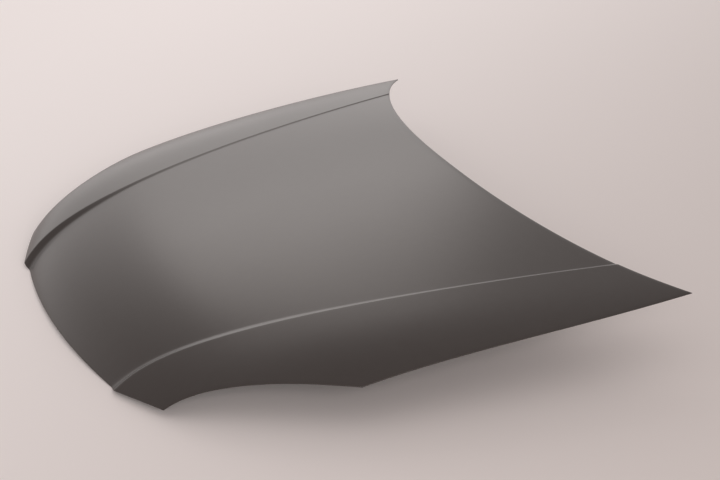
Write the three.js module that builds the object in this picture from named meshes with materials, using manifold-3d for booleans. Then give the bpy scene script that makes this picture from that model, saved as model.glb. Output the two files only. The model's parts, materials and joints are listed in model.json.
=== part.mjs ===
// A car bonnet, pressed from sheet steel: an outer skin hemmed round an inner frame, with the
// reinforcements and weld nuts between the two, the mastic dabs that stop the skin drumming, and
// the striker that drops into the bonnet lock.
// Millimetres. X runs from the front edge back to the windscreen, Y to the car's right and Z up.
import * as THREE from "three";
import { mergeVertices } from "three/addons/utils/BufferGeometryUtils.js";
import Module from "manifold-3d";

const wasm = await Module();
wasm.setup();

// Outline of the bonnet seen from above.
const length = 980; // along the centre line
const halfWidth = 725; // to each rear corner
const rearSweep = 168; // how far the rear edge runs back towards its corners
const rearSweepPower = 2.2;
const cornerSweep = 33; // the last hook back at each rear corner
const cornerSweepPower = 8;
const frontSweep = 34; // how far the front edge falls back from the centre to the crease
const frontKink = 0.19; // extra sweep of the front edge outside the crease, mm for each mm
const sideForward = 13; // how far the side panel's front edge stands ahead at the crease
const tipY = 481; // front tip, beside the headlight
const archPull = [294, 598]; // pulls the headlight cut-out back from the tip
const archEase = [354, 644]; // and eases it into the corner behind the headlight
const archCorner = [437, 692];
const sideBowFront = 7.4; // outward bow of the side edge from there to the rear corner: near the front
const sideBowRear = 23.4; // and near the rear

// Height of the skin.
const rise = 108; // rear edge above the level of the front
const bow = 11; // lengthwise crown
const noseDrop = 57; // long fall towards the front edge
const nosePower = 6.1;
const lipDrop = 33; // short roll of the last few centimetres
const lipPower = 22;
const crownRear = 57.5; // crosswise crown over the half width, at the rear
const crownNose = 38; // and at the nose
const sideFallFront = 15.9; // fall of the side panel over sideReach
const sideFallRear = 21.2;
const sideLift = 0.133; // rise of the side panel outwards at the nose, mm for each mm
const sideReach = 250;
const sideFallPower = 3.4;

// The crease between the centre panel and each side panel.
const creaseFrontY = 331;
const creaseRearY = 577;
const creasePower = 0.86; // under 1, the crease turns outwards soonest at the front
const creaseBow = 2;
const stepFrontHeight = 9.5; // of the side panel above the centre panel
const stepRearHeight = 1.7;
const stepFade = 8;
const stepFrontWidth = 24;
const stepRearWidth = 5.5;
const stepNarrowing = 2.5;

// Sheets, and the hem that holds them together.
const skinGauge = 0.8;
const frameGauge = 0.7;
const braceGauge = 1.5;
const gap = 0.3; // clearance between two sheets, or a sheet and what sits on it
const hemWidth = 10;
const frameInset = 2.5; // from the rim to the frame's edge inside the hem
const flangeWidth = 22; // flat border of the frame under the skin
const channelInset = 45; // from the rim to the floor of the frame's border channel

// The inner frame's ribs and cut-outs.
const floorDepth = 26; // rib floor below the skin's outer face
const landDepth = 5; // land round a cut-out below the skin's outer face
const ribHalfWidth = 22;
const ribWallRun = 16;
const landWidth = 12;
const cutoutRadius = 30;
const firstMemberX = 196; // cross members, along the centre line
const secondMemberX = 461;
const thirdMemberX = 696;
const toolingHole = 24;
const drillLength = 14; // of the cutters that go through the frame

// Hinge seats, at the rear corners.
const hingeSeatLength = 96;
const hingeSeatWidth = 58;
const hingeSeatDepth = 30;
const seatRadius = 12;
const hingeBoltPitch = 50;
const braceMargin = 5; // from the edge of a seat to the edge of the plate on it

// Striker, at the nose.
const strikerSeatLength = 62;
const strikerSeatWidth = 112;
const strikerSeatDepth = 27;
const strikerX = 128;
const strikerBoltPitch = 64;
const strikerPlateGauge = 3;
const strikerWire = 8;
const strikerLoopWidth = 34; // between the middles of the two legs
const strikerDrop = 46; // from the plate to the lowest point of the wire

// M8 fasteners.
const boltDiameter = 8;
const boltHole = 9;
const nutAcrossFlats = 13;
const nutHeight = 6.5;
const headHeight = 6;
const headFlange = 17;
const headFlangeHeight = 1.6;
const boltStandOut = 2; // of the bolt above its nut

// Mastic dabs and the dent brace.
const dabLength = 24;
const dabWidth = 8;
const dabProbe = 2; // height above the land from which the room for a dab is measured

// Facets.
const nosePitch = 30; // longest grid step ahead of the first cross member
const rowPitch = 90; // and behind it
const centreColumns = 4; // from the centre line to the crease
const sideColumns = 4; // from the crease to the border channel
const foldSteps = 3;
const cornerSteps = 3;
const roundSides = 16;
const slopeStep = 4; // half of the span over which the skin's slope is taken
const edgeStep = 0.004; // and, as a share of the length, the edge's direction
const halvings = 40; // steps in the search for the edge
const roundLimit = 0.95; // most of a half side that a corner's rounding may take
const strikerWireSteps = 28;
const snap = 1e-4; // points closer than this are one

const primer = { color: 0x8c8a86, roughness: 0.55, metalness: 0.1 };
const innerPrimer = { color: 0x7f7d7a, roughness: 0.6, metalness: 0.1 };
const zincPlate = { color: 0xb9b9b4, roughness: 0.35, metalness: 0.9 };
const mastic = { color: 0x4b4a48, roughness: 0.9, metalness: 0.0 };

const clamp01 = (t) => Math.min(1, Math.max(0, t));
const mix = (a, b, t) => a + (b - a) * t;

// The skin's outline and height
// A place on the skin is given by y and by u, its share of the way from the front edge to the rear.

const creaseY = (u) =>
  mix(creaseFrontY, creaseRearY, Math.max(0, u) ** creasePower) + 4 * creaseBow * u * (1 - u);
const stepWidth = (u) =>
  mix(stepRearWidth, stepFrontWidth, Math.max(0, 1 - u) ** stepNarrowing);
const onStep = (u, y) => clamp01((Math.abs(y) - creaseY(u)) / stepWidth(u) + 0.5);

// The line that the nose falls to, with its jog and its kink where the crease is at u.
function noseX(y, u) {
  return (
    frontSweep * (Math.abs(y) / creaseFrontY) ** 2 +
    frontKink * Math.max(0, Math.abs(y) - creaseY(u)) -
    sideForward * onStep(u, y)
  );
}

const frontX = (y) => noseX(y, 0);

function rearX(y) {
  const across = Math.abs(y) / halfWidth;
  return (
    length +
    rearSweep * across ** rearSweepPower +
    cornerSweep * across ** cornerSweepPower
  );
}

const xAt = (u, y) => mix(frontX(y), rearX(y), u);
const uAt = (x, y) => (x - frontX(y)) / (rearX(y) - frontX(y));

function skinHeight(x, y) {
  const u = uAt(x, y);
  const front = noseX(y, u);
  const back = (x - front) / (rearX(y) - front);
  const ahead = Math.max(0, 1 - back);
  const nose = ahead ** nosePower;
  const across = Math.abs(y);
  const beyond = Math.max(0, across - creaseY(u) - stepWidth(u) / 2);
  const crown = crownRear * back + crownNose * nose;
  const fall = mix(sideFallFront, sideFallRear, back);
  const step = mix(stepRearHeight, stepFrontHeight, ahead ** stepFade);
  return (
    rise * back +
    4 * bow * back * (1 - back) -
    noseDrop * nose -
    lipDrop * ahead ** lipPower -
    crown * (across / halfWidth) ** 2 +
    step * onStep(u, y) +
    sideLift * nose * beyond -
    fall * (beyond / sideReach) ** sideFallPower
  );
}

// The skin's outer face at a place in plan, with its upward normal.
function skinPoint(x, y) {
  const slopeX = (skinHeight(x + slopeStep, y) - skinHeight(x - slopeStep, y)) / (2 * slopeStep);
  const slopeY = (skinHeight(x, y + slopeStep) - skinHeight(x, y - slopeStep)) / (2 * slopeStep);
  return {
    at: new THREE.Vector3(x, y, skinHeight(x, y)),
    normal: new THREE.Vector3(-slopeX, -slopeY, 1).normalize(),
  };
}

const below = (point, depth) => point.at.clone().addScaledVector(point.normal, -depth);

// The outer edge on the right side: the headlight cut-out, then the edge beside the wing.
const arch = new THREE.CubicBezierCurve(
  new THREE.Vector2(frontX(tipY), tipY),
  new THREE.Vector2(...archPull),
  new THREE.Vector2(...archEase),
  new THREE.Vector2(...archCorner),
);

function sideEdge(s) {
  const [x, y] = archCorner;
  return new THREE.Vector2(
    mix(x, rearX(halfWidth), s),
    mix(y, halfWidth, s) + 3 * s * (1 - s) * mix(sideBowFront, sideBowRear, s),
  );
}

const cornerU = uAt(...archCorner);

// Half width of the bonnet at u, found by halving along the edge.
function edgeY(u) {
  const along = u < cornerU ? (s) => arch.getPoint(s) : sideEdge;
  let low = 0;
  let high = 1;
  for (let step = 0; step < halvings; step++) {
    const middle = (low + high) / 2;
    const point = along(middle);
    if (uAt(point.x, point.y) < u) low = middle;
    else high = middle;
  }
  return along((low + high) / 2).y;
}

// How far to go inwards along a row to be a given distance inside the outer edge.
function insetAlongRow(u, distance) {
  const [before, after] = [Math.max(0, u - edgeStep), Math.min(1, u + edgeStep)];
  const [y0, y1, y] = [edgeY(before), edgeY(after), edgeY(u)];
  const edge = new THREE.Vector2(xAt(after, y1) - xAt(before, y0), y1 - y0).normalize();
  const row = new THREE.Vector2(xAt(u, y) - xAt(u, y - 1), 1).normalize();
  return (distance * row.y) / Math.abs(edge.cross(row));
}

// The grid
// Rows run across the bonnet and columns along it. The first four of each, from the rim, are the
// rim, the hem's end, the end of the frame's flange and the start of the border channel's floor.

const rims = [0, hemWidth, flangeWidth, channelInset];

function makeRows() {
  const fixed = [
    ...rims.map((inset) => inset / length),
    firstMemberX / length,
    secondMemberX / length,
    thirdMemberX / length,
    cornerU,
    ...rims.map((inset) => 1 - inset / length),
  ].sort((a, b) => a - b);
  const rows = [fixed[0]];
  for (const next of fixed.slice(1)) {
    const last = rows[rows.length - 1];
    const pitch = last * length < firstMemberX ? nosePitch : rowPitch;
    const steps = Math.max(1, Math.ceil(((next - last) * length) / pitch - 1e-6));
    for (let step = 1; step < steps; step++) rows.push(mix(last, next, step / steps));
    rows.push(next);
  }
  return rows;
}

const rows = makeRows();
const lastRow = rows.length - 1;
const rimLast = rims.length - 1;
const creaseColumn = centreColumns;
const channelColumn = creaseColumn + 1 + sideColumns;
const halfColumns = channelColumn + rimLast;
const lastColumn = 2 * halfColumns;

// y of a column on the right side, counted from the centre line.
function halfColumnY(column, u) {
  const creaseBottom = creaseY(u) - stepWidth(u) / 2;
  const creaseTop = creaseY(u) + stepWidth(u) / 2;
  if (column <= creaseColumn) return (creaseBottom * column) / creaseColumn;
  const channel = edgeY(u) - insetAlongRow(u, channelInset);
  if (column <= channelColumn)
    return mix(creaseTop, channel, (column - creaseColumn - 1) / sideColumns);
  return edgeY(u) - insetAlongRow(u, rims[halfColumns - column]);
}

function columnY(column, u) {
  const side = column - halfColumns;
  return Math.sign(side) * halfColumnY(Math.abs(side), u);
}

const planAt = (u, y) => skinPoint(xAt(u, y), y);
const grid = rows.map((u) =>
  Array.from({ length: lastColumn + 1 }, (_, column) => planAt(u, columnY(column, u))),
);
const ringOf = (row, column) => Math.min(row, column, lastRow - row, lastColumn - column);
const clampTo = (value, low, high) => Math.min(high, Math.max(low, value));

// Which way a cell is split: mirrored from left to right, and mitred at the two front tips.
function splitRising(row, column) {
  const tip = row === 0 && (column === 0 || column === lastColumn - 1);
  return column >= halfColumns !== tip;
}

// A pressed sheet: faces given on one side, each point with its place on that side and on the
// other. Closing it adds the other side and the cut edges.
class Sheet {
  constructor() {
    this.face = [];
    this.back = [];
    this.triangles = [];
    this.known = new Map();
  }

  point(key, face, back) {
    if (!this.known.has(key)) {
      this.known.set(key, this.face.length);
      this.face.push(face);
      this.back.push(back);
    }
    return this.known.get(key);
  }

  triangle(a, b, c) {
    if (a !== b && b !== c && c !== a) this.triangles.push([a, b, c]);
  }

  // Corners in turn; splitFirst joins the first to the third.
  quad(a, b, c, d, splitFirst = true) {
    if (splitFirst) {
      this.triangle(a, b, c);
      this.triangle(a, c, d);
    } else {
      this.triangle(a, b, d);
      this.triangle(b, c, d);
    }
  }

  strip(outer, inner) {
    outer.forEach((a, k) => {
      const next = (k + 1) % outer.length;
      this.quad(a, outer[next], inner[next], inner[k]);
    });
  }

  openEdges() {
    const edges = new Map();
    for (const corners of this.triangles)
      corners.forEach((a, k) => {
        const b = corners[(k + 1) % 3];
        if (!edges.delete(`${b} ${a}`)) edges.set(`${a} ${b}`, [a, b]);
      });
    return [...edges.values()];
  }

  close() {
    const points = [...this.face, ...this.back];
    const behind = this.face.length;
    const index = [];
    for (const [a, b, c] of this.triangles)
      index.push(a, b, c, a + behind, c + behind, b + behind);
    for (const [a, b] of this.openEdges())
      index.push(b, a, a + behind, b, a + behind, b + behind);
    const geometry = new THREE.BufferGeometry().setFromPoints(points);
    geometry.setIndex(index);
    return geometry;
  }
}

// The outer skin, with its edge folded under the frame's flange

const hemThickness = 2 * skinGauge + frameGauge + 2 * gap;
const foldRadius = hemThickness / 2;

// The rim point of the grid drawn in by a distance, towards the hem's end.
function rimInset(row, column, distance) {
  const rim = grid[row][column];
  const hemEnd = grid[clampTo(row, 1, lastRow - 1)][clampTo(column, 1, lastColumn - 1)];
  return rim.at.clone().lerp(hemEnd.at, distance / hemWidth);
}

function makeOuterSkin() {
  const sheet = new Sheet();

  // Points of the fold from 0, on the skin, to foldSteps, on the return.
  function foldPoint(row, column, step) {
    const { at, normal } = grid[row][column];
    const start = rimInset(row, column, foldRadius);
    const outward = at.clone().sub(start);
    const centre = start.clone().addScaledVector(normal, -foldRadius);
    const turn = (Math.PI * step) / foldSteps;
    const place = (share) =>
      centre
        .clone()
        .addScaledVector(normal, foldRadius * Math.cos(turn) * share)
        .addScaledVector(outward, Math.sin(turn) * share);
    const inner = (foldRadius - skinGauge) / foldRadius;
    return sheet.point(`fold ${row} ${column} ${step}`, place(1), place(inner));
  }

  function skinVertex(row, column) {
    if (ringOf(row, column) === 0) return foldPoint(row, column, 0);
    const point = grid[row][column];
    return sheet.point(`skin ${row} ${column}`, point.at, below(point, skinGauge));
  }

  function returnVertex(row, column) {
    const [r, c] = [clampTo(row, 1, lastRow - 1), clampTo(column, 1, lastColumn - 1)];
    const point = grid[r][c];
    return sheet.point(
      `return ${r} ${c}`,
      below(point, hemThickness),
      below(point, hemThickness - skinGauge),
    );
  }

  for (let row = 0; row < lastRow; row++)
    for (let column = 0; column < lastColumn; column++)
      sheet.quad(
        skinVertex(row, column),
        skinVertex(row + 1, column),
        skinVertex(row + 1, column + 1),
        skinVertex(row, column + 1),
        splitRising(row, column),
      );

  // The rim, as steps with the bonnet on their left.
  const rim = [];
  for (let row = 0; row < lastRow; row++) rim.push([row, 0]);
  for (let column = 0; column < lastColumn; column++) rim.push([lastRow, column]);
  for (let row = lastRow; row > 0; row--) rim.push([row, lastColumn]);
  for (let column = lastColumn; column > 0; column--) rim.push([0, column]);
  rim.forEach((a, k) => {
    const b = rim[(k + 1) % rim.length];
    for (let step = 0; step < foldSteps; step++)
      sheet.quad(
        foldPoint(...b, step),
        foldPoint(...a, step),
        foldPoint(...a, step + 1),
        foldPoint(...b, step + 1),
      );
    // The return is split along the same diagonals as the skin above it.
    const alongFrontOrRear = a[0] === b[0];
    const rising = splitRising(
      Math.min(a[0], b[0], lastRow - 1),
      Math.min(a[1], b[1], lastColumn - 1),
    );
    sheet.quad(
      foldPoint(...b, foldSteps),
      foldPoint(...a, foldSteps),
      returnVertex(...a),
      returnVertex(...b),
      alongFrontOrRear === rising,
    );
  });
  return sheet.close();
}

// The inner frame

const frameTop = skinGauge + gap; // depth of the frame's upper face where it lies under the skin

// A ring of points round a rectangle with rounded corners, as offsets in x and y.
function roundedRing(halfLength, halfBreadth, radius) {
  const round = Math.min(radius, halfLength * roundLimit, halfBreadth * roundLimit);
  const ring = [];
  for (let corner = 0; corner < 4; corner++) {
    const [signX, signY] = [
      [1, -1],
      [1, 1],
      [-1, 1],
      [-1, -1],
    ][corner];
    for (let step = 0; step <= cornerSteps; step++) {
      const turn = (Math.PI / 2) * (corner - 1 + step / cornerSteps);
      ring.push([
        signX * (halfLength - round) + round * Math.cos(turn),
        signY * (halfBreadth - round) + round * Math.sin(turn),
      ]);
    }
  }
  return ring;
}

const ringSize = 4 * (cornerSteps + 1);
const rowOf = (u) => rows.findIndex((value) => Math.abs(value - u) < 1e-9);
const memberRows = [
  rimLast,
  rowOf(firstMemberX / length),
  rowOf(secondMemberX / length),
  rowOf(thirdMemberX / length),
  lastRow - rimLast,
];
const ribColumns = [0, centreColumns / 2, creaseColumn, channelColumn];

// A bay of the frame, between two cross members and two ribs. Its offsets are measured from its
// middle, and follow its sides as they fan out.
class Bay {
  constructor(name, fromRow, toRow, fromColumn, toColumn) {
    Object.assign(this, { name, fromRow, toRow, fromColumn, toColumn });
    this.u0 = rows[fromRow];
    this.u1 = rows[toRow];
    this.length = (this.u1 - this.u0) * length;
    const middle = (this.u0 + this.u1) / 2;
    this.breadth = columnY(toColumn, middle) - columnY(fromColumn, middle);
  }

  place(dx, dy) {
    const u = mix(this.u0, this.u1, 0.5 + dx / this.length);
    const y = mix(
      columnY(this.fromColumn, u),
      columnY(this.toColumn, u),
      0.5 + dy / this.breadth,
    );
    return planAt(u, y);
  }

  ring(inset, radius) {
    return roundedRing(this.length / 2 - inset, this.breadth / 2 - inset, radius).map(
      ([dx, dy]) => this.place(dx, dy),
    );
  }
}

// A flat seat pressed in the frame: its middle, two directions in its plane and its normal.
function seatFrame(point, depth, normal) {
  const along = new THREE.Vector3(1, 0, 0);
  along.addScaledVector(normal, -along.dot(normal)).normalize();
  const across = new THREE.Vector3().crossVectors(normal, along);
  const middle = point.at.clone().addScaledVector(point.normal, -depth);
  return new THREE.Matrix4().makeBasis(along, across, normal).setPosition(middle);
}

const leftOf = (from, to) => [halfColumns - to, halfColumns - from];
const rightOf = (from, to) => [halfColumns + from, halfColumns + to];
const sides = { left: leftOf, right: rightOf };

const cutoutBays = [];
const plainBays = [];
const hingeBays = {};
for (const [side, columnsOf] of Object.entries(sides)) {
  for (let member = 1; member < 4; member++)
    for (let rib = 0; rib < 3; rib++) {
      const columns = columnsOf(ribColumns[rib], ribColumns[rib + 1]);
      const name = `${side} ${member} ${rib + 1}`;
      const bay = new Bay(name, memberRows[member], memberRows[member + 1], ...columns);
      if (member === 3 && rib === 2) hingeBays[side] = bay;
      else cutoutBays.push(bay);
    }
  for (let rib = 1; rib < 3; rib++) {
    const columns = columnsOf(ribColumns[rib], ribColumns[rib + 1]);
    plainBays.push(new Bay(`${side} 0 ${rib + 1}`, memberRows[0], memberRows[1], ...columns));
  }
}
const strikerBay = new Bay(
  "nose",
  memberRows[0],
  memberRows[1],
  halfColumns - ribColumns[1],
  halfColumns + ribColumns[1],
);

const hingeSeats = Object.fromEntries(
  Object.entries(hingeBays).map(([side, bay]) => {
    const point = bay.place(0, 0);
    return [side, seatFrame(point, hingeSeatDepth, point.normal)];
  }),
);
const strikerSeat = seatFrame(
  skinPoint(strikerX, 0),
  strikerSeatDepth,
  new THREE.Vector3(0, 0, 1),
);

function manifoldOf(geometry) {
  const bare = geometry.clone();
  bare.deleteAttribute("normal");
  bare.deleteAttribute("uv");
  const merged = mergeVertices(bare, snap);
  return new wasm.Manifold(
    new wasm.Mesh({
      numProp: 3,
      vertProperties: merged.getAttribute("position").array,
      triVerts: new Uint32Array(merged.index.array),
    }),
  );
}

function geometryOf(solid) {
  const { numProp, vertProperties, triVerts } = solid.getMesh();
  const places = new Float32Array((vertProperties.length / numProp) * 3);
  for (let k = 0; k < places.length / 3; k++)
    places.set(vertProperties.subarray(k * numProp, k * numProp + 3), 3 * k);
  const geometry = new THREE.BufferGeometry();
  geometry.setAttribute("position", new THREE.BufferAttribute(places, 3));
  geometry.setIndex([...triVerts]);
  return geometry;
}

// A round cutter, its axis along the seat's normal.
function drill(diameter, depth, seat, x, y) {
  const geometry = new THREE.CylinderGeometry(diameter / 2, diameter / 2, depth, roundSides);
  geometry.rotateX(Math.PI / 2).translate(x, y, 0).applyMatrix4(seat);
  return manifoldOf(geometry);
}

const strikerBolts = [-strikerBoltPitch / 2, strikerBoltPitch / 2];
const hingeBolts = [-hingeBoltPitch / 2, hingeBoltPitch / 2];

// What the mastic dabs stand on: the land along the front of each cut-out.
const lands = [];

function makeInnerFrame() {
  const sheet = new Sheet();
  const onSheet = (key, point, depth) =>
    sheet.point(key, below(point, depth), below(point, depth + frameGauge));

  function vertex(row, column) {
    const key = `grid ${row} ${column}`;
    const ring = ringOf(row, column);
    const point = grid[row][column];
    if (ring === 0)
      return onSheet(
        key,
        { at: rimInset(row, column, frameInset), normal: point.normal },
        frameTop,
      );
    return onSheet(key, point, ring < rimLast ? frameTop : floorDepth);
  }

  function cell(row, column) {
    sheet.quad(
      vertex(row, column),
      vertex(row + 1, column),
      vertex(row + 1, column + 1),
      vertex(row, column + 1),
      splitRising(row, column),
    );
  }

  function ringVertices(name, points, depth) {
    return points.map((point, k) => onSheet(`${name} ${k}`, point, depth));
  }

  // The floor of a bay, round a ring of points.
  function floorRound(bay, ring) {
    const border = [];
    for (let row = bay.fromRow; row < bay.toRow; row++) border.push([row, bay.fromColumn]);
    for (let c = bay.fromColumn; c < bay.toColumn; c++) border.push([bay.toRow, c]);
    for (let row = bay.toRow; row > bay.fromRow; row--) border.push([row, bay.toColumn]);
    for (let c = bay.toColumn; c > bay.fromColumn; c--) border.push([bay.fromRow, c]);
    const corners = [...border.map(([r, c]) => vertex(r, c)), ...ring];
    const flat = corners.map((k) => new THREE.Vector2(sheet.face[k].x, sheet.face[k].y));
    const contour = flat.slice(0, border.length);
    for (const [a, b, c] of THREE.ShapeUtils.triangulateShape(contour, [
      flat.slice(border.length),
    ])) {
      const turn = flat[b].clone().sub(flat[a]).cross(flat[c].clone().sub(flat[a]));
      if (turn > 0) sheet.triangle(corners[a], corners[b], corners[c]);
      else sheet.triangle(corners[a], corners[c], corners[b]);
    }
  }

  function cutout(bay) {
    const foot = ribHalfWidth + ribWallRun;
    const floor = ringVertices(
      `${bay.name} floor`,
      bay.ring(ribHalfWidth, cutoutRadius + landWidth + ribWallRun),
      floorDepth,
    );
    const land = ringVertices(
      `${bay.name} land`,
      bay.ring(foot, cutoutRadius + landWidth),
      landDepth,
    );
    const edge = ringVertices(
      `${bay.name} edge`,
      bay.ring(foot + landWidth, cutoutRadius),
      landDepth,
    );
    floorRound(bay, floor);
    sheet.strip(floor, land);
    sheet.strip(land, edge);
    const front = 3 * (cornerSteps + 1) - 1;
    const straight = [edge[front], edge[front + 1], land[front], land[front + 1]];
    lands.push({ name: bay.name, corners: straight.map((k) => sheet.face[k]) });
  }

  function seat(bay, matrix, seatLength, seatWidth) {
    const floor = ringVertices(
      `${bay.name} floor`,
      bay.ring(ribHalfWidth, cutoutRadius),
      floorDepth,
    );
    floorRound(bay, floor);
    const pad = roundedRing(seatLength / 2, seatWidth / 2, seatRadius).map(([x, y], k) =>
      sheet.point(
        `${bay.name} seat ${k}`,
        new THREE.Vector3(x, y, 0).applyMatrix4(matrix),
        new THREE.Vector3(x, y, -frameGauge).applyMatrix4(matrix),
      ),
    );
    sheet.strip(floor, pad);
    for (let k = 1; k < ringSize - 1; k++) sheet.triangle(pad[0], pad[k], pad[k + 1]);
  }

  for (let row = 0; row < lastRow; row++)
    for (let column = 0; column < lastColumn; column++) {
      const border =
        Math.min(row, column, lastRow - 1 - row, lastColumn - 1 - column) < rimLast;
      if (border) cell(row, column);
    }
  for (const bay of plainBays)
    for (let row = bay.fromRow; row < bay.toRow; row++)
      for (let column = bay.fromColumn; column < bay.toColumn; column++) cell(row, column);
  for (const bay of cutoutBays) cutout(bay);
  for (const [side, bay] of Object.entries(hingeBays))
    seat(bay, hingeSeats[side], hingeSeatLength, hingeSeatWidth);
  seat(strikerBay, strikerSeat, strikerSeatLength, strikerSeatWidth);

  let solid = manifoldOf(sheet.close());
  for (const matrix of Object.values(hingeSeats))
    for (const x of hingeBolts)
      solid = solid.subtract(drill(boltHole, drillLength, matrix, x, 0));
  for (const y of strikerBolts)
    solid = solid.subtract(drill(boltHole, drillLength, strikerSeat, 0, y));
  for (const bay of plainBays) {
    const point = bay.place(0, 0);
    const matrix = seatFrame(point, floorDepth, point.normal);
    solid = solid.subtract(drill(toolingHole, drillLength, matrix, 0, 0));
  }
  return geometryOf(solid);
}

// The dent brace: a strip bonded under the skin behind the nose

function makeDentBrace() {
  const sheet = new Sheet();
  const reach = ribColumns[1];
  const vertex = (row, column) => {
    const point = grid[row][column];
    return sheet.point(
      `${row} ${column}`,
      below(point, frameTop),
      below(point, frameTop + braceGauge),
    );
  };
  for (let row = memberRows[0]; row < memberRows[1] - 1; row++)
    for (let column = halfColumns - reach; column < halfColumns + reach; column++)
      sheet.quad(
        vertex(row, column),
        vertex(row + 1, column),
        vertex(row + 1, column + 1),
        vertex(row, column + 1),
        splitRising(row, column),
      );
  return sheet.close();
}

// Flat plates, nuts and bolts, each made round its own middle with its lower face at z = 0

function roundedPlate(plateLength, plateWidth, radius, holes, thickness) {
  const outline = roundedRing(plateLength / 2, plateWidth / 2, radius);
  const shape = new THREE.Shape(outline.map(([x, y]) => new THREE.Vector2(x, y)));
  for (const [x, y, diameter] of holes)
    shape.holes.push(new THREE.Path().absarc(x, y, diameter / 2, 0, 2 * Math.PI, true));
  return new THREE.ExtrudeGeometry(shape, {
    depth: thickness,
    bevelEnabled: false,
    curveSegments: roundSides / 2,
  });
}

function hexagon(acrossFlats) {
  const radius = acrossFlats / Math.sqrt(3);
  const corners = Array.from({ length: 6 }, (_, k) => {
    const turn = (Math.PI / 3) * k;
    return new THREE.Vector2(radius * Math.cos(turn), radius * Math.sin(turn));
  });
  return new THREE.Shape(corners);
}

function weldNut() {
  const shape = hexagon(nutAcrossFlats);
  const bore = boltDiameter / 2;
  shape.holes.push(new THREE.Path().absarc(0, 0, bore, 0, 2 * Math.PI, true));
  return new THREE.ExtrudeGeometry(shape, {
    depth: nutHeight,
    bevelEnabled: false,
    curveSegments: roundSides / 2,
  });
}

// A flanged bolt, its seat at z = 0 and its shank upwards.
function flangedBolt(shankLength) {
  const shank = boltDiameter / 2 - gap;
  const flange = headFlange / 2;
  const profile = [
    [0, -headFlangeHeight],
    [flange, -headFlangeHeight],
    [flange, 0],
    [shank, 0],
    [shank, shankLength],
    [0, shankLength],
  ].map(([x, y]) => new THREE.Vector2(x, y));
  const turned = new THREE.LatheGeometry(profile, roundSides).rotateX(Math.PI / 2);
  const sunk = headFlangeHeight / 2;
  const head = new THREE.ExtrudeGeometry(hexagon(nutAcrossFlats), {
    depth: headHeight,
    bevelEnabled: false,
  }).translate(0, 0, -headHeight - sunk);
  return geometryOf(manifoldOf(turned).add(manifoldOf(head)));
}

// The striker's wire: down one leg, round two bends and up the other.
class StrikerPath extends THREE.Curve {
  constructor(top) {
    super();
    this.bend = strikerLoopWidth / 2;
    this.leg = top + strikerDrop - strikerWire / 2 - this.bend;
    this.top = top;
    this.total = 2 * this.leg + Math.PI * this.bend;
  }

  getPoint(t, target = new THREE.Vector3()) {
    const run = clamp01(t) * this.total;
    const turned = clampTo((run - this.leg) / this.bend, 0, Math.PI);
    const lift = Math.max(0, run - this.leg - Math.PI * this.bend);
    const drop = Math.min(run, this.leg);
    return target.set(
      -this.bend * Math.cos(turned),
      0,
      this.top - drop - this.bend * Math.sin(turned) + lift,
    );
  }
}

function strikerWireLoop() {
  const section = new THREE.Shape().absarc(0, 0, strikerWire / 2, 0, 2 * Math.PI, false);
  return new THREE.ExtrudeGeometry(section, {
    steps: strikerWireSteps,
    curveSegments: roundSides / 4,
    extrudePath: new StrikerPath(strikerPlateGauge),
  });
}

// Assembly

const bonnet = new THREE.Group();
const material = (look) => new THREE.MeshStandardMaterial(look);

function addPiece(parent, name, geometry, look, height = 0, x = 0, y = 0) {
  const mesh = new THREE.Mesh(geometry, material(look));
  mesh.name = name;
  mesh.position.set(x, y, height);
  parent.add(mesh);
  return mesh;
}

const outerSkin = addPiece(bonnet, "outer_skin", makeOuterSkin(), primer);
const innerFrame = addPiece(bonnet, "inner_frame", makeInnerFrame(), innerPrimer);
addPiece(bonnet, "dent_brace", makeDentBrace(), innerPrimer);

for (const [side, matrix] of Object.entries(hingeSeats)) {
  const seat = new THREE.Group();
  seat.applyMatrix4(matrix);
  bonnet.add(seat);
  const plate = roundedPlate(
    hingeSeatLength - 2 * braceMargin,
    hingeSeatWidth - 2 * braceMargin,
    seatRadius,
    hingeBolts.map((x) => [x, 0, boltHole]),
    braceGauge,
  );
  addPiece(seat, `hinge_brace_${side}`, plate, innerPrimer, gap);
  hingeBolts.forEach((x, k) => {
    const name = `hinge_nut_${side}_${k + 1}`;
    addPiece(seat, name, weldNut(), zincPlate, braceGauge + 2 * gap, x);
  });
}

const striker = new THREE.Group();
striker.applyMatrix4(strikerSeat);
bonnet.add(striker);
const plateLength = strikerSeatLength - 2 * braceMargin;
const plateWidth = strikerSeatWidth - 2 * braceMargin;
const plateBolts = strikerBolts.map((y) => [0, y, boltHole]);
const wireHoles = [-1, 1].map((end) => [
  (end * strikerLoopWidth) / 2,
  0,
  strikerWire + 2 * gap,
]);
const plateFoot = -frameGauge - gap - strikerPlateGauge;
const nutSeat = braceGauge + 2 * gap;
addPiece(
  striker,
  "striker_brace",
  roundedPlate(plateLength, plateWidth, seatRadius, plateBolts, braceGauge),
  innerPrimer,
  gap,
);
addPiece(
  striker,
  "striker_plate",
  roundedPlate(
    plateLength,
    plateWidth,
    seatRadius,
    [...plateBolts, ...wireHoles],
    strikerPlateGauge,
  ),
  zincPlate,
  plateFoot,
);
addPiece(striker, "striker_loop", strikerWireLoop(), zincPlate, plateFoot);
const shankLength = nutSeat + nutHeight + boltStandOut - plateFoot + gap;
strikerBolts.forEach((y, k) => {
  addPiece(striker, `striker_nut_${k + 1}`, weldNut(), zincPlate, nutSeat, 0, y);
  const bolt = flangedBolt(shankLength);
  addPiece(striker, `striker_bolt_${k + 1}`, bolt, zincPlate, plateFoot - gap, 0, y);
});

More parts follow.
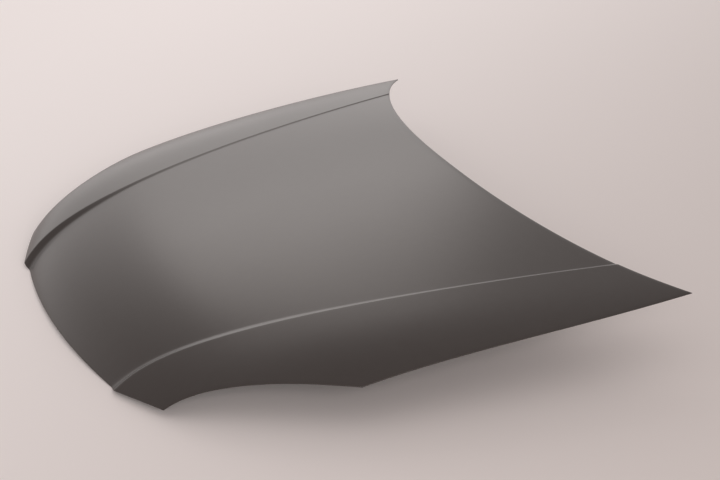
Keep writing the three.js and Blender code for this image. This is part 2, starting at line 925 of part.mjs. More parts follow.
// A mastic dab on each land, as tall as the space up to the skin. The room is measured at nine
// places on the dab, up to the skin and down to the land.
bonnet.updateMatrixWorld(true);
lands.forEach(({ corners }, k) => {
  const [edgeA, edgeB, landA, landB] = corners;
  const middle = edgeA.clone().add(edgeB).add(landA).add(landB).divideScalar(4);
  const along = edgeB.clone().sub(edgeA).normalize();
  const across = edgeA.clone().add(edgeB).sub(landA).sub(landB);
  const normal = new THREE.Vector3().crossVectors(along, across).normalize();
  if (normal.z < 0) normal.negate();
  across.crossVectors(normal, along);
  const distance = (from, direction, target) =>
    new THREE.Raycaster(from, direction).intersectObject(target)[0].distance;
  const up = [];
  const down = [];
  for (const end of [-1, 0, 1])
    for (const side of [-1, 0, 1]) {
      const from = middle
        .clone()
        .addScaledVector(along, (end * dabLength) / 2)
        .addScaledVector(across, (side * dabWidth) / 2)
        .addScaledVector(normal, dabProbe);
      up.push(distance(from, normal, outerSkin) + dabProbe);
      down.push(dabProbe - distance(from, normal.clone().negate(), innerFrame));
    }
  const foot = Math.max(...down) + gap;
  const height = Math.min(...up) - gap - foot;
  const dab = roundedPlate(dabLength, dabWidth, dabWidth / 2, [], height);
  const seat = new THREE.Group();
  seat.applyMatrix4(new THREE.Matrix4().makeBasis(along, across, normal).setPosition(middle));
  bonnet.add(seat);
  addPiece(seat, `mastic_dab_${String(k + 1).padStart(2, "0")}`, dab, mastic, foot);
});

// The origin is under the middle of the bonnet, level with its lowest point.
const box = new THREE.Box3().setFromObject(bonnet, true);
const part = new THREE.Group();
part.add(bonnet);
bonnet.position.set(-(box.min.x + box.max.x) / 2, 0, -box.min.z);

export default part;
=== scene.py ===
"""Dresses a pressed steel car bonnet in its grey primer, on a pale studio floor.

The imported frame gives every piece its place. The skin, the inner frame, the plates and the
fasteners are made again here as fine meshes from the same driving sizes as their solids, and the
mastic is laid in dabs between the two sheets. The dent brace keeps its solid. Everything is in
metres: X runs back towards the windscreen, Y to the car's right, Z up.
"""

import json
import logging
import math
from dataclasses import dataclass
from enum import Enum

import bmesh
import bpy
import numpy as np
from mathutils import Matrix, Vector
from mathutils.geometry import delaunay_2d_cdt


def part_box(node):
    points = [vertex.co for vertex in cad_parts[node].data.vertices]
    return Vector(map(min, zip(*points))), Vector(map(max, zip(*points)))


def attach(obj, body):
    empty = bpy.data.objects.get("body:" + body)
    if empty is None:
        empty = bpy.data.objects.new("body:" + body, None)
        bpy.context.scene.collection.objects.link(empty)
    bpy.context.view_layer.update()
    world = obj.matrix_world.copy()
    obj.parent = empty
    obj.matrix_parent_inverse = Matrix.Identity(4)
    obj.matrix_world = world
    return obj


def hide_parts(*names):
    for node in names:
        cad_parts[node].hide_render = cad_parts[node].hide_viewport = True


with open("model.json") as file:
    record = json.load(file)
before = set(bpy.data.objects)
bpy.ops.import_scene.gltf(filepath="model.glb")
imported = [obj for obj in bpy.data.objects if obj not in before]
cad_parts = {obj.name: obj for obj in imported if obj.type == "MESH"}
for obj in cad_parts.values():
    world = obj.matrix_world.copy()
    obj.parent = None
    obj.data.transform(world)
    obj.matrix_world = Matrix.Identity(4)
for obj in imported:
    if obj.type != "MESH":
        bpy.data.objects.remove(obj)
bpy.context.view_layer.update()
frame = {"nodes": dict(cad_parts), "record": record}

logging.basicConfig(level=logging.INFO, format="%(message)s")
log = logging.getLogger("bonnet")

ROOT = "root"
EDGE_REACH = 0.004
ROW_REACH = 0.001
SAME_POINT = 1e-7


def mix(low: np.ndarray, high: np.ndarray, share: np.ndarray) -> np.ndarray:
    """Return what lies between two values, at a share of the way."""
    return low + (high - low) * share


def soft_ramp(value: np.ndarray, foot: float, top: float) -> np.ndarray:
    """Rise from 0 to 1 as value does, with rounded ends.

    Args:
        value: where on the ramp, 0 at its foot and 1 at its top.
        foot: how much of the ramp its rounded foot takes.
        top: how much of the ramp its rounded top takes.

    Returns:
        The height on the ramp, from 0 to 1.
    """
    return foot * np.logaddexp(0, value / foot) - top * np.logaddexp(0, (value - 1) / top)


@dataclass(frozen=True)
class SkinShape:
    """The skin's driving sizes, measured from the middle of the bonnet's front edge."""

    origin: tuple[float, float, float] = (-0.5907332, 0.0, 0.0985286)
    length: float = 0.980
    half_width: float = 0.725
    rear_sweep: float = 0.168
    rear_power: float = 2.2
    corner_sweep: float = 0.033
    corner_power: float = 8
    front_sweep: float = 0.034
    front_kink: float = 0.19
    side_forward: float = 0.013
    tip_y: float = 0.481
    arch_pull: tuple[float, float] = (0.294, 0.598)
    arch_ease: tuple[float, float] = (0.354, 0.644)
    arch_corner: tuple[float, float] = (0.437, 0.692)
    side_bow_front: float = 0.0074
    side_bow_rear: float = 0.0234
    rise: float = 0.108
    bow: float = 0.011
    nose_drop: float = 0.057
    nose_power: float = 6.1
    lip_drop: float = 0.033
    lip_power: float = 22
    crown_rear: float = 0.0575
    crown_nose: float = 0.038
    fall_front: float = 0.0159
    fall_rear: float = 0.0212
    side_lift: float = 0.133
    side_reach: float = 0.250
    fall_power: float = 3.4
    crease_front_y: float = 0.331
    crease_rear_y: float = 0.577
    crease_power: float = 0.86
    crease_bow: float = 0.002
    step_front_height: float = 0.0095
    step_rear_height: float = 0.0017
    step_fade: float = 8
    step_front_width: float = 0.024
    step_rear_width: float = 0.0055
    step_narrowing: float = 2.5
    step_foot: float = 0.15
    step_top: float = 0.05
    slope_step: float = 0.0015

    def on_step(self, share: np.ndarray) -> np.ndarray:
        """Return the height on the crease's step, with its soft foot and its crisp top."""
        return soft_ramp(share, self.step_foot, self.step_top)

    def nose_x(self, y: np.ndarray, u: np.ndarray) -> np.ndarray:
        """Return x of the nose's line at y, with its jog and its kink at the crease at u.

        Args:
            y: distances from the centre line.
            u: the share of the length at which the crease is taken.

        Returns:
            X of the line, from the middle of the front edge.
        """
        beyond = np.abs(y) - self.crease_y(u)
        ahead = self.on_step(beyond / self.step_width(u) + 0.5)
        sweep = self.front_sweep * (np.abs(y) / self.crease_front_y) ** 2
        return sweep + self.front_kink * np.maximum(0, beyond) - self.side_forward * ahead

    def front_x(self, y: np.ndarray) -> np.ndarray:
        """Return x of the front edge at y."""
        return self.nose_x(y, np.zeros_like(y))

    def rear_x(self, y: np.ndarray) -> np.ndarray:
        """Return x of the rear edge at y.

        Args:
            y: distances from the centre line.

        Returns:
            X of the rear edge.
        """
        across = np.abs(y) / self.half_width
        sweep = self.rear_sweep * across**self.rear_power
        return self.length + sweep + self.corner_sweep * across**self.corner_power

    def x_at(self, u: np.ndarray, y: np.ndarray) -> np.ndarray:
        """Return x at a share u of the way from the front edge to the rear edge."""
        return mix(self.front_x(y), self.rear_x(y), u)

    def u_at(self, x: np.ndarray, y: np.ndarray) -> np.ndarray:
        """Return the share of the way from the front edge to the rear edge."""
        front = self.front_x(y)
        return (x - front) / (self.rear_x(y) - front)

    def crease_y(self, u: np.ndarray) -> np.ndarray:
        """Return y of the middle of the crease on the right side."""
        line = mix(self.crease_front_y, self.crease_rear_y, np.maximum(0, u) ** self.crease_power)
        return line + 4 * self.crease_bow * u * (1 - u)

    def step_width(self, u: np.ndarray) -> np.ndarray:
        """Return the width of the crease's step."""
        ahead = np.maximum(0, 1 - u)
        return mix(self.step_rear_width, self.step_front_width, ahead**self.step_narrowing)

    def height(self, x: np.ndarray, y: np.ndarray) -> np.ndarray:
        """Return the height of the skin's outer face above the middle of the front.

        Args:
            x: distances back from the middle of the front edge.
            y: distances from the centre line.

        Returns:
            The heights.
        """
        u = self.u_at(x, y)
        nose_x = self.nose_x(y, u)
        back = (x - nose_x) / (self.rear_x(y) - nose_x)
        ahead = np.maximum(0, 1 - back)
        nose = ahead**self.nose_power
        across = np.abs(y)
        beyond = np.maximum(0, across - self.crease_y(u) - self.step_width(u) / 2)
        crown = self.crown_rear * back + self.crown_nose * nose
        fall = mix(self.fall_front, self.fall_rear, back)
        on_step = self.on_step((across - self.crease_y(u)) / self.step_width(u) + 0.5)
        step = mix(self.step_rear_height, self.step_front_height, ahead**self.step_fade)
        return (
            self.rise * back
            + 4 * self.bow * back * (1 - back)
            - self.nose_drop * nose
            - self.lip_drop * ahead**self.lip_power
            - crown * (across / self.half_width) ** 2
            + step * on_step
            + self.side_lift * nose * beyond
            - fall * (beyond / self.side_reach) ** self.fall_power
        )

    def points(self, u: np.ndarray, y: np.ndarray) -> tuple[np.ndarray, np.ndarray]:
        """Return places on the outer face, in the frame, and their upward normals.

        Args:
            u: shares of the way from the front edge to the rear edge.
            y: distances from the centre line, to the right.

        Returns:
            Two arrays of the shape of u with a last axis of three.
        """
        x = self.x_at(u, y)
        step = self.slope_step
        slope_x = (self.height(x + step, y) - self.height(x - step, y)) / (2 * step)
        slope_y = (self.height(x, y + step) - self.height(x, y - step)) / (2 * step)
        at = np.stack([x, y, self.height(x, y)], axis=-1) + np.array(self.origin)
        normal = np.stack([-slope_x, -slope_y, np.ones_like(x)], axis=-1)
        return at, normal / np.linalg.norm(normal, axis=-1, keepdims=True)

    def arch(self, s: float) -> tuple[float, float]:
        """Return x and y on the headlight cut-out, from the tip at 0 to the corner at 1.

        Args:
            s: the share of the way along the cut-out.

        Returns:
            X and y.
        """
        tip = (float(self.front_x(np.array(self.tip_y))), self.tip_y)
        corners = (tip, self.arch_pull, self.arch_ease, self.arch_corner)
        weights = ((1 - s) ** 3, 3 * s * (1 - s) ** 2, 3 * s * s * (1 - s), s**3)
        return tuple(sum(w * c[axis] for w, c in zip(weights, corners)) for axis in (0, 1))

    def side(self, s: float) -> tuple[float, float]:
        """Return x and y on the edge beside the wing, from the cut-out to the rear corner.

        Args:
            s: the share of the way along the edge.

        Returns:
            X and y.
        """
        x, y = self.arch_corner
        end = float(self.rear_x(np.array(self.half_width)))
        bow = 3 * s * (1 - s) * mix(self.side_bow_front, self.side_bow_rear, s)
        return mix(x, end, s), mix(y, self.half_width, s) + bow

    def corner_u(self) -> float:
        """Return u of the corner behind the headlight."""
        x, y = self.arch_corner
        return float(self.u_at(np.array(x), np.array(y)))

    def edge_y(self, u: float) -> float:
        """Return the half width of the bonnet at u, found by halving along the edge.

        Args:
            u: the share of the way from the front edge to the rear edge.

        Returns:
            The distance from the centre line to the edge.
        """
        along = self.arch if u < self.corner_u() else self.side
        low, high = 0.0, 1.0
        for _ in range(40):
            middle = (low + high) / 2
            x, y = along(middle)
            if float(self.u_at(np.array(x), np.array(y))) < u:
                low = middle
            else:
                high = middle
        return along((low + high) / 2)[1]

    def inset_along_row(self, u: float, distance: float) -> float:
        """Return how far in y to go from the edge to be a distance inside it.

        Args:
            u: the share of the way from the front edge to the rear edge.
            distance: how far inside the edge, square to it.

        Returns:
            The run in y.
        """
        before, after = max(0.0, u - EDGE_REACH), min(1.0, u + EDGE_REACH)
        y0, y1, y = self.edge_y(before), self.edge_y(after), self.edge_y(u)
        shares = np.array([before, after, u, u])
        x0, x1, x, x_inside = self.x_at(shares, np.array([y0, y1, y, y - ROW_REACH]))
        edge = np.array([x1 - x0, y1 - y0])
        edge /= np.linalg.norm(edge)
        row = np.array([x - x_inside, ROW_REACH])
        row /= np.linalg.norm(row)
        return distance * row[1] / abs(edge[0] * row[1] - edge[1] * row[0])


class Corner(Enum):
    """Where a rounded piece's shading breaks, in degrees between its faces."""

    PRESSED = 35
    MACHINED = 28


def mesh_piece(
    name: str,
    vertices: np.ndarray,
    faces: list[tuple[int, ...]],
    corner: Corner,
) -> bpy.types.Object:
    """Make a smooth-shaded mesh object at the origin.

    Args:
        name: the piece's name.
        vertices: its points, in the frame.
        faces: corner numbers of each face, turning left seen from outside.
        corner: the angle past which an edge stays sharp.

    Returns:
        The object, linked to the scene.
    """
    mesh = bpy.data.meshes.new(name)
    mesh.from_pydata(vertices.tolist(), [], faces)
    mesh.validate()
    mesh.shade_smooth()
    mesh.set_sharp_from_angle(angle=math.radians(corner.value))
    piece = bpy.data.objects.new(name, mesh)
    bpy.context.scene.collection.objects.link(piece)
    return piece


@dataclass(frozen=True)
class OuterSkin:
    """The outer skin as one fine pressing, with its edge folded into a hem."""

    shape: SkinShape
    gauge: float = 0.0008
    frame_gauge: float = 0.0007
    gap: float = 0.0003
    hem_width: float = 0.010
    nose_rows: int = 46
    rear_rows: int = 74
    nose_share: float = 0.16
    centre_columns: int = 26
    crease_columns: int = 24
    side_columns: int = 26
    fold_steps: int = 6
    foot_margin: float = 0.6
    top_margin: float = 0.2

    @property
    def hem_thickness(self) -> float:
        """Return the thickness of the hem: two skins round the frame's sheet."""
        return 2 * self.gauge + self.frame_gauge + 2 * self.gap

    def rows(self) -> np.ndarray:
        """Return u of each row, closest at the nose, with one at the hem's end and the corner.

        Returns:
            The shares of the length.
        """
        hem = self.hem_width / self.shape.length
        nose = np.linspace(hem, self.nose_share, self.nose_rows)
        rear = np.linspace(self.nose_share, 1 - hem, self.rear_rows)[1:]
        rows = np.concatenate([[0.0], nose, rear, [1.0]])
        rows[np.argmin(np.abs(rows - self.shape.corner_u()))] = self.shape.corner_u()
        return rows

    def columns(self, u: float) -> np.ndarray:
        """Return y of each column at u, from the left edge to the right.

        Args:
            u: the share of the way from the front edge to the rear edge.

        Returns:
            The distances from the centre line.
        """
        shape = self.shape
        middle, width = shape.crease_y(u), shape.step_width(u)
        bottom = middle - width * (0.5 + self.foot_margin)
        top = middle + width * (0.5 + self.top_margin)
        edge = shape.edge_y(u)
        hem_end = edge - shape.inset_along_row(u, self.hem_width)
        half = np.concatenate(
            [
                np.linspace(0, bottom, self.centre_columns + 1),
                np.linspace(bottom, top, self.crease_columns + 1)[1:],
                np.linspace(top, hem_end, self.side_columns + 1)[1:],
                [edge],
            ]
        )
        return np.concatenate([-half[:0:-1], half])

    def build(self) -> bpy.types.Object:
        """Make the skin and return its object.

        Returns:
            The object.
        """
        rows = self.rows()
        y = np.array([self.columns(float(u)) for u in rows])
        at, normal = self.shape.points(np.repeat(rows[:, None], y.shape[1], axis=1), y)
        last_row, last_column = at.shape[0] - 1, at.shape[1] - 1
        hem_end = at[
            np.clip(np.arange(last_row + 1), 1, last_row - 1)[:, None],
            np.clip(np.arange(last_column + 1), 1, last_column - 1)[None, :],
        ]
        radius = self.hem_thickness / 2
        start = at + (hem_end - at) * (radius / self.hem_width)
        outward = at - start
        vertices: list[np.ndarray] = []
        number: dict[tuple, int] = {}

        def vertex(key: tuple, place: np.ndarray) -> int:
            """Return the number of a point, adding it the first time.

            Args:
                key: what tells the point from the others.
                place: where it is.

            Returns:
                The point's number.
            """
            if key not in number:
                number[key] = len(vertices)
                vertices.append(place)
            return number[key]

        def fold(r: int, c: int, step: int, inner: bool) -> int:
            """Return a point of the fold, from 0 on the skin to the last step on the return.

            Args:
                r: the row.
                c: the column.
                step: how far round the fold.
                inner: whether it is on the sheet's inner side.

            Returns:
                The point's number.
            """
            turn = math.pi * step / self.fold_steps
            share = (radius - self.gauge) / radius if inner else 1.0
            centre = start[r, c] - normal[r, c] * radius
            lift = normal[r, c] * (radius * math.cos(turn) * share)
            reach = outward[r, c] * (math.sin(turn) * share)
            return vertex(("fold", r, c, step, inner), centre + lift + reach)

        def face(r: int, c: int, inner: bool) -> int:
            """Return a point of the skin's outer or inner face.

            Args:
                r: the row.
                c: the column.
                inner: whether it is on the sheet's inner side.

            Returns:
                The point's number.
            """
            if r in (0, last_row) or c in (0, last_column):
                return fold(r, c, 0, inner)
            depth = self.gauge if inner else 0
            return vertex(("skin", r, c, inner), at[r, c] - normal[r, c] * depth)

        def back(r: int, c: int, inner: bool) -> int:
            """Return a point of the end of the hem's return.

            Args:
                r: the row.
                c: the column.
                inner: whether it is on the sheet's inner side.

            Returns:
                The point's number.
            """
            r, c = min(max(r, 1), last_row - 1), min(max(c, 1), last_column - 1)
            depth = self.hem_thickness - (self.gauge if inner else 0)
            return vertex(("return", r, c, inner), at[r, c] - normal[r, c] * depth)

        faces = []

        def panel(corners: list[int], inside: list[int]) -> None:
            """Add a face of the sheet's outer side and the one behind it.

            Args:
                corners: the points on the sheet's outer side.
                inside: the points behind them.
            """
            for ring in (corners, inside[::-1]):
                once = tuple(dict.fromkeys(ring))
                if len(once) > 2:
                    faces.append(once)

        for r in range(last_row):
            for c in range(last_column):
                corners = ((r, c), (r + 1, c), (r + 1, c + 1), (r, c + 1))
                panel([face(*k, False) for k in corners], [face(*k, True) for k in corners])
        rim = (
            [(r, 0) for r in range(last_row)]
            + [(last_row, c) for c in range(last_column)]
            + [(r, last_column) for r in range(last_row, 0, -1)]
            + [(0, c) for c in range(last_column, 0, -1)]
        )
        for a, b in zip(rim, rim[1:] + rim[:1]):
            for step in range(self.fold_steps):
                corners = ((b, step), (a, step), (a, step + 1), (b, step + 1))
                panel(
                    [fold(*k, s, False) for k, s in corners],
                    [fold(*k, s, True) for k, s in corners],
                )
            end = self.fold_steps
            panel(
                [fold(*b, end, False), fold(*a, end, False), back(*a, False), back(*b, False)],
                [fold(*b, end, True), fold(*a, end, True), back(*a, True), back(*b, True)],
            )
            ends = [back(*b, False), back(*a, False), back(*a, True), back(*b, True)]
            cut = tuple(dict.fromkeys(ends))
            if len(cut) > 2:
                faces.append(cut)
        return mesh_piece("bonnet_skin", np.array(vertices), faces, Corner.PRESSED)


@dataclass(frozen=True)
class BoltingFace:
    """A flat seat pressed in the frame: its middle and the three directions of its plane."""

    middle: np.ndarray
    along: np.ndarray
    across: np.ndarray
    normal: np.ndarray

    @staticmethod
    def under(at: np.ndarray, normal: np.ndarray, depth: float, face: np.ndarray) -> "BoltingFace":
        """Return the seat a depth under a place on the skin.

        Args:
            at: the place on the skin's outer face.
            normal: the skin's normal there.
            depth: how far under it the seat's middle lies.
            face: the seat's own normal.

        Returns:
            The seat, with its first direction as near to X as its plane allows.
        """
        along = np.array([1.0, 0.0, 0.0]) - face[0] * face
        along /= np.linalg.norm(along)
        return BoltingFace(at - normal * depth, along, np.cross(face, along), face)

    def place(self, x: float, y: float, z: float = 0.0) -> np.ndarray:
        """Return a place given in the seat's own directions."""
        return self.middle + self.along * x + self.across * y + self.normal * z


class PressedSheet:
    """A sheet given by points on both of its sides, closed along its edges when it is made."""

    def __init__(self) -> None:
        """Start with no points and no faces."""
        self.face: list[np.ndarray] = []
        self.back: list[np.ndarray] = []
        self.polygons: list[tuple[int, ...]] = []
        self.known: dict[tuple, int] = {}

    def point(self, face: np.ndarray, back: np.ndarray) -> int:
        """Return the number of a point, the same one for the same place.

        Args:
            face: the place on the sheet's upper side.
            back: the place behind it.

        Returns:
            The point's number.
        """
        key = tuple(np.round(face * 1e5).astype(int).tolist())
        if key not in self.known:
            self.known[key] = len(self.face)
            self.face.append(face)
            self.back.append(back)
        return self.known[key]

    def polygon(self, *corners: int) -> None:
        """Add a face, leaving out corners that fall together.

        Args:
            corners: the points' numbers, turning left seen from above.
        """
        once = tuple(dict.fromkeys(corners))
        if len(once) > 2:
            self.polygons.append(once)

    def strip(self, outer: list[int], inner: list[int]) -> None:
        """Join two rings of as many points, the outer one and the one inside it.

        Args:
            outer: the outer ring's points.
            inner: the inner ring's points.
        """
        for k, corner in enumerate(outer):
            after = (k + 1) % len(outer)
            self.polygon(corner, outer[after], inner[after], inner[k])

    def make(self, name: str) -> bpy.types.Object:
        """Close the sheet and return its object.

        Args:
            name: the sheet's name.

        Returns:
            The object.
        """
        behind = len(self.face)
        faces = list(self.polygons)
        faces += [tuple(corner + behind for corner in reversed(ring)) for ring in self.polygons]
        edges: dict[tuple[int, int], tuple[int, int]] = {}
        for ring in self.polygons:
            for a, b in zip(ring, ring[1:] + ring[:1]):
                if edges.pop((b, a), None) is None:
                    edges[(a, b)] = (a, b)
        faces += [(b, a, a + behind, b + behind) for a, b in edges.values()]
        return mesh_piece(name, np.array(self.face + self.back), faces, Corner.PRESSED)


class Bay(Enum):
    """What the frame has between two cross members and two ribs."""

    CUTOUT = "cutout"
    HOLE = "hole"
    HINGE = "hinge"
    STRIKER = "striker"


@dataclass
class InnerFrame:
    """The inner frame as one fine pressing: border channel, ribs, lands, seats and holes."""

    shape: SkinShape
    gauge: float = 0.0007
    top_depth: float = 0.0011
    insets: tuple[float, ...] = (
        0.0025,
        0.010,
        0.022,
        0.0245,
        0.028,
        0.033,
        0.0385,
        0.0425,
        0.045,
    )
    rises: tuple[float, ...] = (0.0, 0.0, 0.0, 0.03, 0.18, 0.5, 0.82, 0.97, 1.0)
    floor_depth: float = 0.026
    land_depth: float = 0.005
    rib_half_width: float = 0.022
    wall_run: float = 0.016
    land_width: float = 0.012
    cutout_radius: float = 0.030
    member_x: tuple[float, float, float] = (0.196, 0.461, 0.696)
    hinge_seat: tuple[float, float, float] = (0.096, 0.058, 0.030)
    striker_seat: tuple[float, float, float] = (0.062, 0.112, 0.027)
    striker_x: float = 0.128
    seat_radius: float = 0.012
    hinge_pitch: float = 0.050
    striker_pitch: float = 0.064
    bolt_hole: float = 0.009
    tooling_hole: float = 0.024
    steps: int = 16
    wall_steps: int = 7
    hole_sides: int = 32
    edge_samples: int = 481
    widest_corner: float = 0.475

    def __post_init__(self) -> None:
        """Tabulate the outer edge once, with its corner among the samples."""
        samples = np.linspace(0, 1, self.edge_samples)
        self.table_u = np.sort(np.append(samples, self.shape.corner_u()))
        self.table_y = np.array([self.shape.edge_y(float(u)) for u in self.table_u])
        self.sheet = PressedSheet()
        length = self.shape.length
        channel = self.insets[-1] / length
        self.member_u = (channel, *(x / length for x in self.member_x), 1 - channel)

    def inset_y(self, u: np.ndarray, distance: float) -> np.ndarray:
        """Return y of the line a distance inside the outer edge, at each u.

        Args:
            u: shares of the way from the front edge to the rear edge.
            distance: how far inside the edge, square to it.

        Returns:
            Y of the line.
        """
        before, after = np.maximum(0, u - EDGE_REACH), np.minimum(1, u + EDGE_REACH)
        y0, y1, y = (np.interp(v, self.table_u, self.table_y) for v in (before, after, u))
        edge = np.stack([self.shape.x_at(after, y1) - self.shape.x_at(before, y0), y1 - y0])
        edge /= np.linalg.norm(edge, axis=0)
        run = self.shape.x_at(u, y) - self.shape.x_at(u, y - ROW_REACH)
        row = np.stack([run, np.full_like(y, ROW_REACH)])
        row /= np.linalg.norm(row, axis=0)
        return y - distance * row[1] / np.abs(edge[0] * row[1] - edge[1] * row[0])

    def rib_y(self, rib: int, u: np.ndarray) -> np.ndarray:
        """Return y of a rib's middle on the right: centre, half way, crease or channel.

        Args:
            rib: 0 at the centre line, up to 3 at the channel.
            u: shares of the way from the front edge to the rear edge.

        Returns:
            Y of the rib's middle.
        """
        crease = self.shape.crease_y(u) - self.shape.step_width(u) / 2
        if rib < 3:
            return crease * rib / 2
        return self.inset_y(u, self.insets[-1])

    def numbers(self, u: np.ndarray, y: np.ndarray, depth: float) -> list[int]:
        """Return the sheet's points at a depth under places on the skin.

        Args:
            u: shares of the way from the front edge to the rear edge.
            y: distances from the centre line, to the right.
            depth: how far the sheet's upper side is under the skin's outer face.

        Returns:
            The points' numbers.
        """
        at, normal = self.shape.points(u, y)
        face, back = at - normal * depth, at - normal * (depth + self.gauge)
        return [self.sheet.point(a, b) for a, b in zip(face, back)]

    def border(self) -> None:
        """Lay the flange in the hem and the channel inside it, all the way round."""
        last = len(self.insets) - 1
        inside = np.array(self.insets) / self.shape.length
        spans = zip(self.member_u, self.member_u[1:])
        middle = [np.linspace(a, b, self.steps + 1)[1:] for a, b in spans]
        rows = np.concatenate([inside, *middle, 1 - inside[-2::-1]])
        half = [np.zeros_like(rows)]
        share = np.arange(1, self.steps + 1) / self.steps
        for rib in range(3):
            low, high = self.rib_y(rib, rows), self.rib_y(rib + 1, rows)
            half += [mix(low, high, s) for s in share]
        half += [self.inset_y(rows, inset) for inset in self.insets[-2::-1]]
        columns = np.stack([-line for line in half[:0:-1]] + half, axis=1)
        row_last, column_last = len(rows) - 1, columns.shape[1] - 1
        grid: dict[tuple[int, int], int] = {}
        for r, u in enumerate(rows):
            for c in range(column_last + 1):
                ring = min(r, c, row_last - r, column_last - c)
                if ring <= last:
                    depth = mix(self.top_depth, self.floor_depth, self.rises[ring])
                    grid[r, c] = self.numbers(np.array([u]), columns[r, c : c + 1], depth)[0]
        for r in range(row_last):
            for c in range(column_last):
                if min(r, c, row_last - 1 - r, column_last - 1 - c) < last:
                    corners = ((r, c), (r + 1, c), (r + 1, c + 1), (r, c + 1))
                    self.sheet.polygon(*(grid[k] for k in corners))

    def ring(
        self,
        length: float,
        breadth: float,
        radius: float,
        turns: tuple[int, int],
    ) -> np.ndarray:
        """Return offsets round a rectangle with rounded corners, from the middle of one corner.

        Args:
            length: its size along the bonnet.
            breadth: its size across.
            radius: its corners' radius, 0 for square ones.
            turns: how many steps a side across and a side along the bonnet have.

        Returns:
            The offsets, one row each, turning left seen from above.
        """
        radius = min(radius, self.widest_corner * length, self.widest_corner * breadth)
        offsets = []
        for side in range(4):
            facing = math.pi / 2 * side
            out = np.array([math.cos(facing), math.sin(facing)])
            on = np.array([-out[1], out[0]])
            reach, run = (length, breadth) if side % 2 == 0 else (breadth, length)
            count = turns[side % 2]
            for k in range(count):
                share = k / count
                if radius == 0:
                    offsets.append(out * reach / 2 + on * run * (share - 0.5))
                    continue
                turn = min(0.0, share * 4 - 1) + max(0.0, share * 4 - 3)
                slide = np.clip(share * 2 - 0.5, 0, 1) * 2 - 1
                angle = facing + turn * math.pi / 4
                centre = out * (reach / 2 - radius) + on * slide * (run / 2 - radius)
                offsets.append(centre + radius * np.array([math.cos(angle), math.sin(angle)]))
        return np.array(offsets)

    def bay(self, member: int, low_rib: int, high_rib: int, kind: Bay) -> BoltingFace | None:
        """Press one bay, between two cross members and two ribs.

        Args:
            member: the cross member that it starts at.
            low_rib: the rib on its left, negative on the left side.
            high_rib: the rib on its right.
            kind: what the bay has.

        Returns:
            The seat, where the bay has one.
        """
        u0, u1 = self.member_u[member], self.member_u[member + 1]

        def line(rib: int, u: np.ndarray) -> np.ndarray:
            """Return y of a rib's middle on either side."""
            return math.copysign(1, rib) * self.rib_y(abs(rib), u)

        length = (u1 - u0) * self.shape.length
        middle = np.array([(u0 + u1) / 2])
        breadth = float((line(high_rib, middle) - line(low_rib, middle))[0])
        across = self.steps * (high_rib - low_rib)
        turns = (across, self.steps)

        def at(offsets: np.ndarray, depth: float) -> list[int]:
            """Return the points at offsets from the bay's middle.

            Args:
                offsets: distances from the bay's middle, along and across.
                depth: the depth of the points under the skin.

            Returns:
                The points' numbers.
            """
            u = mix(u0, u1, 0.5 + offsets[:, 0] / length)
            low, high = line(low_rib, u), line(high_rib, u)
            return self.numbers(u, mix(low, high, 0.5 + offsets[:, 1] / breadth), depth)

        def inside(inset: float, radius: float) -> np.ndarray:
            """Return the ring an inset inside the bay."""
            return self.ring(length - 2 * inset, breadth - 2 * inset, radius, turns)

        rings = [at(self.ring(length, breadth, 0, turns), self.floor_depth)]
        if kind is Bay.CUTOUT:
            corner = self.cutout_radius + self.land_width + self.wall_run + self.rib_half_width
            for share in np.linspace(0, 1, self.wall_steps):
                inset = self.rib_half_width + self.wall_run * share
                rise = share * share * (3 - 2 * share)
                depth = mix(self.floor_depth, self.land_depth, rise)
                rings.append(at(inside(inset, corner - inset), depth))
            inset += self.land_width
            rings.append(at(inside(inset, corner - inset), self.land_depth))
        else:
            rings.append(at(inside(self.rib_half_width, self.cutout_radius), self.floor_depth))
        for outer, inner in zip(rings, rings[1:]):
            self.sheet.strip(outer, inner)
        if kind is Bay.CUTOUT:
            return None
        if kind is Bay.HOLE:
            round_hole = self.ring(self.tooling_hole, self.tooling_hole, 0.0, turns)
            round_hole *= self.tooling_hole / 2 / np.linalg.norm(round_hole, axis=1, keepdims=True)
            self.sheet.strip(rings[-1], at(round_hole, self.floor_depth))
            return None
        if kind is Bay.HINGE:
            y = (line(low_rib, middle) + line(high_rib, middle)) / 2
            (place,), (normal,) = self.shape.points(middle, y)
            seat = BoltingFace.under(place, normal, self.hinge_seat[2], normal)
            holes = ((-self.hinge_pitch / 2, 0), (self.hinge_pitch / 2, 0))
            self.pad(seat, self.hinge_seat, rings[-1], turns, holes)
            return seat
        y = np.zeros(1)
        (place,), (normal,) = self.shape.points(self.shape.u_at(np.array([self.striker_x]), y), y)
        seat = BoltingFace.under(place, normal, self.striker_seat[2], np.array([0.0, 0.0, 1.0]))
        holes = ((0, -self.striker_pitch / 2), (0, self.striker_pitch / 2))
        self.pad(seat, self.striker_seat, rings[-1], turns, holes)
        return seat

